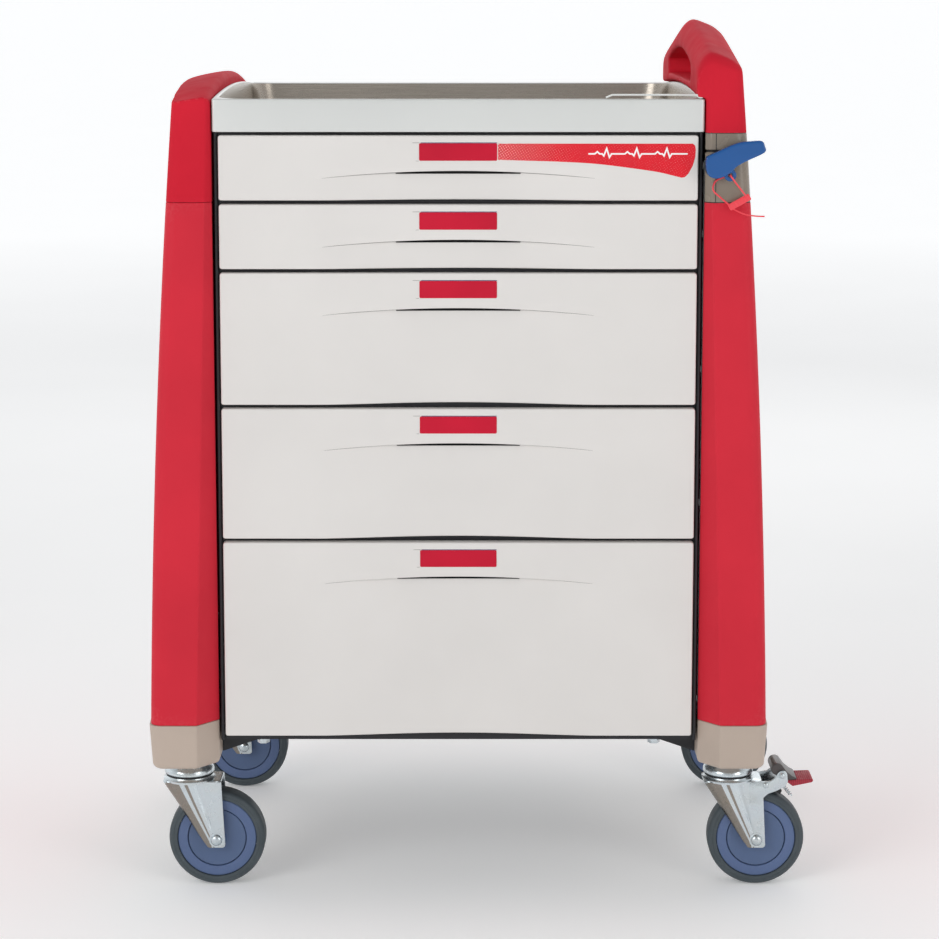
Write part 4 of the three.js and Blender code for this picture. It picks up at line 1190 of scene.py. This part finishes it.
back_details()


def base_bolts():
    """Hexagon bolts that hold the outriggers up to the base, seen from below and the front."""
    low = BASE_UNDERSIDE
    meshes = []
    for sx, sy in ((-1, -1), (1, -1), (-1, 1), (1, 1)):
        x, y = sx * (HALF_CABINET - 50), sy * 222
        meshes.append(slab(arc((x, y), 8, 0, 60, 6), "z", low - 12, low - 5, 0.8, 2))
        shank = [(0, low - 6), (4, low - 6), (4, low + 3), (0, low + 3)]
        washer = [(0, low - 4), (12, low - 4), (12, low - 2.4), (0, low - 2.4)]
        meshes.append(lathe(shank, (x, y, 0), "z", 24))
        meshes.append(lathe(washer, (x, y, 0), "z", 32))
    piece("base_bolts", together(*meshes), "caster_zinc", sharp=30)


base_bolts()


# ---------------------------------------------------------------- central lock


def lock_lever():
    """The blue lever: a thick arm that points right and up, with a lug for the seal."""
    x, z = LEVER
    _, _, front, back, _, _ = box_mm("lock_lever")
    corners = [(-14.5, 4), (-14, 13), (2, 21), (24, 30.5), (42, 33), (54, 33), (57.5, 27)]
    corners += [(57.5, 19), (37, 9), (24, 2), (15, -7), (0, -13), (-11, -9)]
    closed = corners + corners[:3]
    path = curve_through(closed, 7)[7:-14]
    outline = [(x + u, z + v) for u, v in path]
    blank = bare("lever_blank", *slab(outline, "y", front, back, 1.2, 2))
    arm = softened(blank, [], 0.8, 22)
    piece("lock_lever_arm", arm, "lever_blue", "lock_handle", replaces=["lock_lever"], sharp=50)
    middle = (front + back) / 2
    half = [(7.2, -1.8), (7.5, -1), (7.5, 1), (7.2, 1.8), (3.2, 1.8), (2.6, 1), (2.6, -1), (3.2, -1.8)]
    lug = lathe([(radius, middle + y) for radius, y in half], (LUG[0], 0, LUG[1]), "y", 48)
    piece("lock_lever_lug", lug, "lever_blue", "lock_handle", sharp=40)


def escutcheon():
    """A thin ring behind the lever, round its spindle."""
    x, z = LEVER
    back = box_mm("lock_lever")[3]
    face = -side_half_depth(z)
    ring = [(6.6, face + 1), (6.6, back + 1), (12, back + 1.2), (14, face - 0.2), (14, face + 1)]
    piece("lock_escutcheon", lathe(ring, (x, 0, z), "y", 48), "bezel_black", sharp=40)


lock_lever()
escutcheon()
carried("lock_spindle", "caster_zinc", 0.0)


def seal():
    """A pull-tight seal: a ribbed tag, a loop through the lug and a loose tail."""
    x, z = LEVER
    front, back = box_mm("lock_lever")[2:4]
    middle = (front + back) / 2
    face = middle + 1
    tag_x, tag_z = x + 28, z - 42
    hole_x, hole_z = LUG
    lean = 29
    plate = turned(rounded_rectangle(-14.5, 14.5, -4.2, 4.2, 1.6, 4, 2), lean)
    meshes = [slab(plate + (tag_x, tag_z), "y", face - 1.5, face + 1.5, 0.5)]
    for k in range(5):
        rib = turned(rounded_rectangle(-9 + 4 * k, -7.6 + 4 * k, -3, 3, 0.4, 2, 1), lean)
        meshes.append(slab(rib + (tag_x, tag_z), "y", face - 1.9, face, 0.15, 2))
    loop = [
        (tag_x - 11, face, tag_z - 5),
        (x + 4, face, z - 36),
        (x - 4.5, face + 1, z - 27),
        (x - 1, middle + 8.2, z - 17),
        (x + 9, middle + 8.8, z - 12),
        (hole_x - 2, middle + 7, hole_z - 0.3),
        (hole_x, middle + 2, hole_z),
        (hole_x, middle - 3, hole_z),
        (hole_x + 2, middle - 6, hole_z - 3),
        (x + 24, middle - 5, z - 20),
        (tag_x + 9, face - 1, tag_z + 6),
    ]
    tail = [
        (tag_x - 9, face, tag_z - 4),
        (x + 20, face, z - 50),
        (x + 33, face, z - 56.5),
        (x + 46, face, z - 59),
        (x + 59, face, z - 59.7),
    ]
    form = together(*meshes, tube(loop, 1.05), tube(tail, 0.9))
    piece("seal_strap", form, "seal_coral", "seal", replaces=["seal_tag"], sharp=40)


seal()


# ---------------------------------------------------------------- casters


def both_ways(side):
    """A wheel's profile from one side of it."""
    return side + [(radius, -y) for radius, y in reversed(side)]


def tyre_profile():
    """The tyre, with a fine bead round its side and a rounded tread."""
    half, radius, seat = 16, WHEEL_RADIUS, 51.3
    side = [(seat, half - 1.2), (seat + 0.8, half - 0.2), (seat + 4.2, half)]
    side += [(seat + 4.8, half - 0.35), (seat + 5.4, half)]
    for k in range(9):
        turn = math.pi / 2 * k / 8
        side.append((radius - 6 + 6 * math.sin(turn), half - 7 + 7 * math.cos(turn)))
    side.append((radius, 3.0))
    return both_ways(side)


def hub_profile():
    """The outer ring of the hub, with a groove where the disc is set in."""
    side = [(37.9, 10.5), (38.3, 13.4), (38.9, 14.0), (44, 14.1), (50, 13.7), (50.9, 13.0)]
    return both_ways(side)


def disc_profile():
    """The disc inside the hub: nearly flat, with a boss round the axle."""
    side = [(4.4, 17.8), (10.5, 17.8), (11.6, 17.2), (13, 13.4), (16, 12.7), (28, 12.6)]
    side += [(36.4, 13.3), (37.1, 12.8), (37.4, 11.5), (37.9, 10.4)]
    return both_ways(side)


def fork_cheek(side, leading=-33, trailing=43):
    """One pressed cheek: its leading part bowed out in flutes, its foot round the axle."""
    rows, columns = CHEEK_GRID
    top, foot = CROWN[1] - 1.5, WHEEL_RADIUS - 10.5

    def surface(u, v):
        z = top + (foot - top) * v
        lead = leading + (TRAIL - 13 - leading) * min(v / 0.97, 1) ** 1.02
        trail = trailing + (TRAIL + 11.5 - trailing) * v
        x = lead + (trail - lead) * u
        corner = 4.5
        near = min(x - lead, trail - x)
        if v > 0.9 and near < corner:
            lift = corner - math.sqrt(max(corner**2 - (corner - near) ** 2, 0))
            z = max(z, foot + lift)
        depth = 1 - v
        bow = 2.6 * math.sin(math.pi * min(u / 0.56, 1)) * smoothstep(depth * 1.4)
        flute = -1.6 * math.exp(-(((u - 0.57) / 0.035) ** 2)) * smoothstep(depth * 2.2)
        ridge = 0.9 * math.exp(-(((u - 0.24) / 0.05) ** 2)) * smoothstep(depth * 2.0)
        wrap = -7.0 * max(0, 1 - u / 0.13) ** 2 * smoothstep(depth * 1.3)
        return x, z, bow + flute + ridge + wrap

    points = []
    for level in (CHEEK[1], CHEEK[0]):
        for r in range(rows + 1):
            for c in range(columns + 1):
                x, z, out = surface(c / columns, r / rows)
                rim = min(c, columns - c, r + 3, rows - r)
                soften = 0.5 if rim == 0 else 0
                y = level + out - (soften if level == CHEEK[1] else -soften)
                points.append((x, side * y, z))
    faces = []
    size = (rows + 1) * (columns + 1)
    for r in range(rows):
        for c in range(columns):
            a = r * (columns + 1) + c
            faces.append((a, a + 1, a + columns + 2, a + columns + 1))
            faces.append((size + a, size + a + columns + 1, size + a + columns + 2, size + a + 1))
    border = grid_border(rows + 1, columns + 1)
    for k, a in enumerate(border):
        b = border[(k + 1) % len(border)]
        faces.append((a, size + a, size + b, b))
    return points, faces


def brake_arm(side):
    """The flat ear of the braked fork that carries the pedal's pivot."""
    foot = filleted([(41, 112), (44, 119), (50, 124.5), (60, 128)], [6, 8], 4)
    outline = [(26, 139.5), (26, 112), *foot, (72, 134), (75.5, 141)]
    outline += arc(PEDAL_PIVOT, 6.8, -10, 20, 9)
    outline += [(58, 145), (53, 141.5), (44, 140.5)]
    low, high = sorted((side * (CHEEK[0] + 0.2), side * (CHEEK[1] + 0.4)))
    return slab(outline, "y", low, high, 0.5, 2)


def moved(form, x, y):
    points, faces = form
    return np.asarray(points, float) + np.array([x, y, 0]), faces


def caster(name, x, y, braked):
    """A swivel caster: wheel, fork pressing, axle bolt, bearing seal and pressed head."""
    caster_body, wheel = f"{name}_caster", f"{name}_wheel"
    axle = (TRAIL, 0, WHEEL_RADIUS)

    def add(part, form, material, body, slot="", cad="", sharp=38, more=()):
        replaced = [f"{name}_{cad}"] if cad else []
        form = moved(form, x, y)
        piece(f"{name}_{part}", form, material, body, slot, replaced, 1, sharp, more)

    add("tread", lathe(tyre_profile(), axle), "tyre_grey", wheel, cad="tyre", sharp=30)
    add("rim", lathe(hub_profile(), axle), "hub_blue", wheel, cad="hub", sharp=30)
    add("disc", lathe(disc_profile(), axle), "hub_disc_blue", wheel, "hub_blue", sharp=30)
    # A black ring in the hub's groove, painted as shade between the rim and the disc.
    groove = [(36.9, 11.0), (38.4, 11.0), (38.4, -11.0), (36.9, -11.0)]
    add("groove", lathe(groove, axle), "shoe_black", wheel, "hub_blue")

    low, high = CROWN
    crown = []
    for inset, z in ((2.2, low), (0.5, low + 0.6), (0, low + 2), (0.6, high - 0.6), (2.6, high)):
        sides, ends = (-33 + inset, 43 - inset), (-24 + inset, 24 - inset)
        crown.append(at_height(rounded_rectangle(*sides, *ends, 10 - inset, 8, 6), z))
    turret = [(0, 139), (33.5, 139), (33.5, 141.4), (31.5, 142.6), (30.6, 145.2), (29, 146), (0, 146)]
    meshes = [loft(crown), lathe(turret, (0, 0, 0), "z", 72)]
    # The cheeks' leading part and one narrow band get the darker zinc: painted reflection.
    painted_reflection_faces = []
    rows, columns = CHEEK_GRID
    for side in (-1, 1):
        start = sum(len(faces) for _, faces in meshes)
        for i in range(2 * rows * columns):
            share = i // 2 % columns / columns
            if share < 0.26 or 0.36 < share < 0.4:
                painted_reflection_faces.append(start + i)
        meshes.append(fork_cheek(side))
        if braked:
            meshes.append(brake_arm(side))
    more = [("zinc_painted_dark_reflection", painted_reflection_faces)]
    pressing = together(*meshes)
    add("fork_pressing", pressing, "caster_zinc", caster_body, cad="fork", sharp=40, more=more)

    bolt = CHEEK[1] + 0.4
    dome = [(0, -bolt - 4.6), (3, -bolt - 4.3), (5.6, -bolt - 3.1), (7.2, -bolt - 1.2)]
    dome += [(7.6, -bolt), (0, -bolt)]
    shank = [(0, -bolt), (4, -bolt), (4, bolt + 6), (0, bolt + 6)]
    washer = [(0, -bolt), (9.6, -bolt), (9.6, -bolt + 0.9), (0, -bolt + 0.9)]
    nut = slab(arc((TRAIL, WHEEL_RADIUS), 7.5, 12, 60, 6), "y", bolt, bolt + 5.5, 0.7, 2)
    parts = [lathe(profile, axle, "y", 40) for profile in (dome, shank, washer)]
    add("axle_bolt", together(*parts, nut), "caster_zinc", caster_body, cad="axle", sharp=35)

    seal_ring = [(0, 146.2), (30.4, 146.2), (31.2, 147.2), (30.4, 148.6), (0, 148.6)]
    add("race_seal", lathe(seal_ring, (0, 0, 0), "z", 72), "shoe_black", "cabinet")
    head = [(0, 148.4), (31.5, 148.4), (32.4, 149.4), (32.2, 153.5), (30.5, 156), (24.5, 163)]
    head += [(23.5, 170), (26, 173.4), (33, 174), (34, 175), (34, HEAD_FLANGE), (15, HEAD_FLANGE)]
    head += [(15, HEAD_FLANGE + 4), (8, HEAD_FLANGE + 4), (8, 210), (0, 210)]
    turned_head = lathe(head, (0, 0, 0), "z", 72)
    add("head_pressing", turned_head, "caster_zinc", "cabinet", cad="head", sharp=35)


for end, toward_rear in (("front", -1), ("rear", 1)):
    for label, side in (("left", -1), ("right", 1)):
        name = f"{end}_{label}"
        x, y = side * CASTER_PLACE[0], toward_rear * CASTER_PLACE[1]
        caster(name, x, y, name == "front_right")


def brake():
    """The braked caster's pedal plate, pad, rivets and return spring."""
    x, y = CASTER_PLACE[0], -CASTER_PLACE[1]

    def add(name, form, material, body, slot="", replaces=(), sharp=40):
        piece(name, moved(form, x, y), material, body, slot, replaces, 1, sharp)

    carried("brake_shoe", "shoe_black", 0.6)
    outline = arc((62, 156), 8, 238, -8.4, 25)
    outline += [(74, 153), (81, 147.2), (87, 144), (86.6, 142.4), (82, 141.8), (74, 141.6)]
    outline += [(69, 144.6), (64, 147.4)]
    pin = [(0, -24), (3.2, -24), (3.2, 24), (0, 24)]
    pin = lathe(pin, (PEDAL_PIVOT[0], 0, PEDAL_PIVOT[1]), "y", 24)
    lever = together(slab(outline, "y", -20.6, 20.6, 1.0, 3), pin)
    add("brake_lever_plate", lever, "brake_steel", "brake_lever", "caster_zinc", ["brake_pedal"], 35)

    corners = [(90, 142.3), (74.5, 141.4), (75.5, 138.6), (82, 133.6), (107, 138.8)]
    corners += [(109, 141.4), (106.5, 143), (90, 142.3)]
    outline = filleted(corners, [0.8, 1.5, 2.2, 1.6, 1.0, 1.0], 4)[:-1]
    pad = slab(outline, "y", -21, 21, 0.9, 3)
    add("brake_pad_grip", pad, "pedal_red", "brake_lever", replaces=["brake_pad"])

    base = CHEEK[1] + 0.3
    dome = [(0, base + 2), (2.2, base + 1.7), (3.6, base + 0.8), (4, base), (0, base)]
    rivets = []
    for u, v in (PEDAL_PIVOT, ARM_RIVET):
        for side in (-1, 1):
            rivets.append(lathe([(radius, side * out) for radius, out in dome], (u, 0, v), "y", 28))
    add("brake_rivets", together(*rivets), "caster_zinc", "front_right_caster")

    turns, steps, length, radius = 5, 10, 15, 2.2
    down, out = 0.78, 0.62  # the spring's direction
    coil = []
    for k in range(turns * steps + 1):
        turn = 2 * math.pi * k / steps
        along, swing = length * k / (turns * steps), radius * math.cos(turn)
        u, v = 71 + along * out + swing * down, 132 - along * down + swing * out
        coil.append((u, -12 + radius * math.sin(turn), v))
    pin = [(69.5, -12, 134), (74, -12, 128.5), (82.5, -12, 118)]
    spring = together(tube(coil, 0.55, 8), tube(pin, 0.8, 10))
    add("brake_spring", spring, "caster_zinc", "front_right_caster", sharp=60)


brake()

# ---------------------------------------------------------------- stage, light and camera


def area_light(name, place, target, size, energy, colour=(1, 1, 1)):
    light = bpy.data.lights.new(name, "AREA")
    light.shape = "RECTANGLE"
    light.size, light.size_y = size
    light.energy = energy
    light.color = colour
    made = placed(name, light)
    made.location = place
    aim = Vector(target) - Vector(place)
    made.rotation_mode = "QUATERNION"
    made.rotation_quaternion = aim.to_track_quat("-Z", "Y")


FLOOR_REACH = 300
FLOOR_GLOW = (0.17, 0.42)  # beside the cart, and far off where no lamp reaches
GLOW_DISTANCES = (2.0, 9.0)
SKY_FADES = {  # along each axis: where the fade starts and ends, and the strengths there
    "Y": (-0.9, 0.5, 0.58, 1.1),
    "Z": (0.2, 0.9, 1.0, 0.5),
}


def floor():
    """A wide pale floor that glows a little more with distance, to meet the sky."""
    pale = Shader("floor_pale")
    tones = pale.ranged(pale.noise(2, 2), 0, 1)
    pale.link(pale.mixed(tones, (0.94, 0.94, 0.94, 1), (0.96, 0.96, 0.96, 1)), "Base Color")
    pale.set(Roughness=0.9, Specular_IOR_Level=0.1, Emission_Color=(0.97, 0.985, 1, 1))
    away = pale.node("VectorMath", {0: pale.place()}, operation="LENGTH").outputs["Value"]
    pale.link(pale.ranged(away, *FLOOR_GLOW, *GLOW_DISTANCES), "Emission Strength")
    mesh = bpy.data.meshes.new("floor")
    corners = [(x * FLOOR_REACH, y * FLOOR_REACH, 0) for x, y in ((-1, -1), (1, -1), (1, 1), (-1, 1))]
    mesh.from_pydata(corners, [], [(0, 1, 2, 3)])
    mesh.materials.append(pale.material)
    made = placed("floor", mesh)
    made.location.z = -0.0005


def sky():
    """A studio sky, brightest low down behind the cart and dimmer in front and overhead."""
    world = bpy.data.worlds.new("studio")
    bpy.context.scene.world = world
    world.use_nodes = True
    nodes, links = world.node_tree.nodes, world.node_tree.links
    parts = nodes.new("ShaderNodeSeparateXYZ")
    links.new(nodes.new("ShaderNodeTexCoord").outputs["Generated"], parts.inputs[0])
    strength = nodes.new("ShaderNodeMath")
    strength.operation = "MULTIPLY"
    for index, (axis, limits) in enumerate(SKY_FADES.items()):
        fade = nodes.new("ShaderNodeMapRange")
        fade.interpolation_type = "SMOOTHSTEP"
        for socket, value in zip(("From Min", "From Max", "To Min", "To Max"), limits):
            fade.inputs[socket].default_value = value
        links.new(parts.outputs[axis], fade.inputs["Value"])
        links.new(fade.outputs["Result"], strength.inputs[index])
    background = nodes["Background"]
    background.inputs["Color"].default_value = (0.985, 0.992, 1.0, 1)
    links.new(strength.outputs[0], background.inputs["Strength"])


def camera(place, pitch, lens, shift):
    """The main view: from the front, tipped down by the pitch in degrees."""
    data = bpy.data.cameras.new("camera")
    made = placed("camera", data)
    bpy.context.scene.camera = made
    data.sensor_width = 36
    data.lens = lens
    data.shift_y = shift
    made.location = place
    made.rotation_euler = (math.radians(90 - pitch), 0, 0)


floor()
sky()
area_light("key", (-2.6, -3.2, 2.2), (0, 0, 0.5), (2.2, 2.2), 46)
area_light("fill", (2.6, -3.0, 1.6), (0, 0, 0.5), (1.6, 2.2), 22, (1.0, 0.98, 0.96))
area_light("rear", (0.6, 3.4, 2.4), (0, 0, 0.6), (2.6, 2.0), 14)
camera((CENTRE_X + 0.014, -3.5, 1.155), pitch=8.12, lens=100.2, shift=-0.115)
bpy.context.scene.view_settings.view_transform = "Standard"
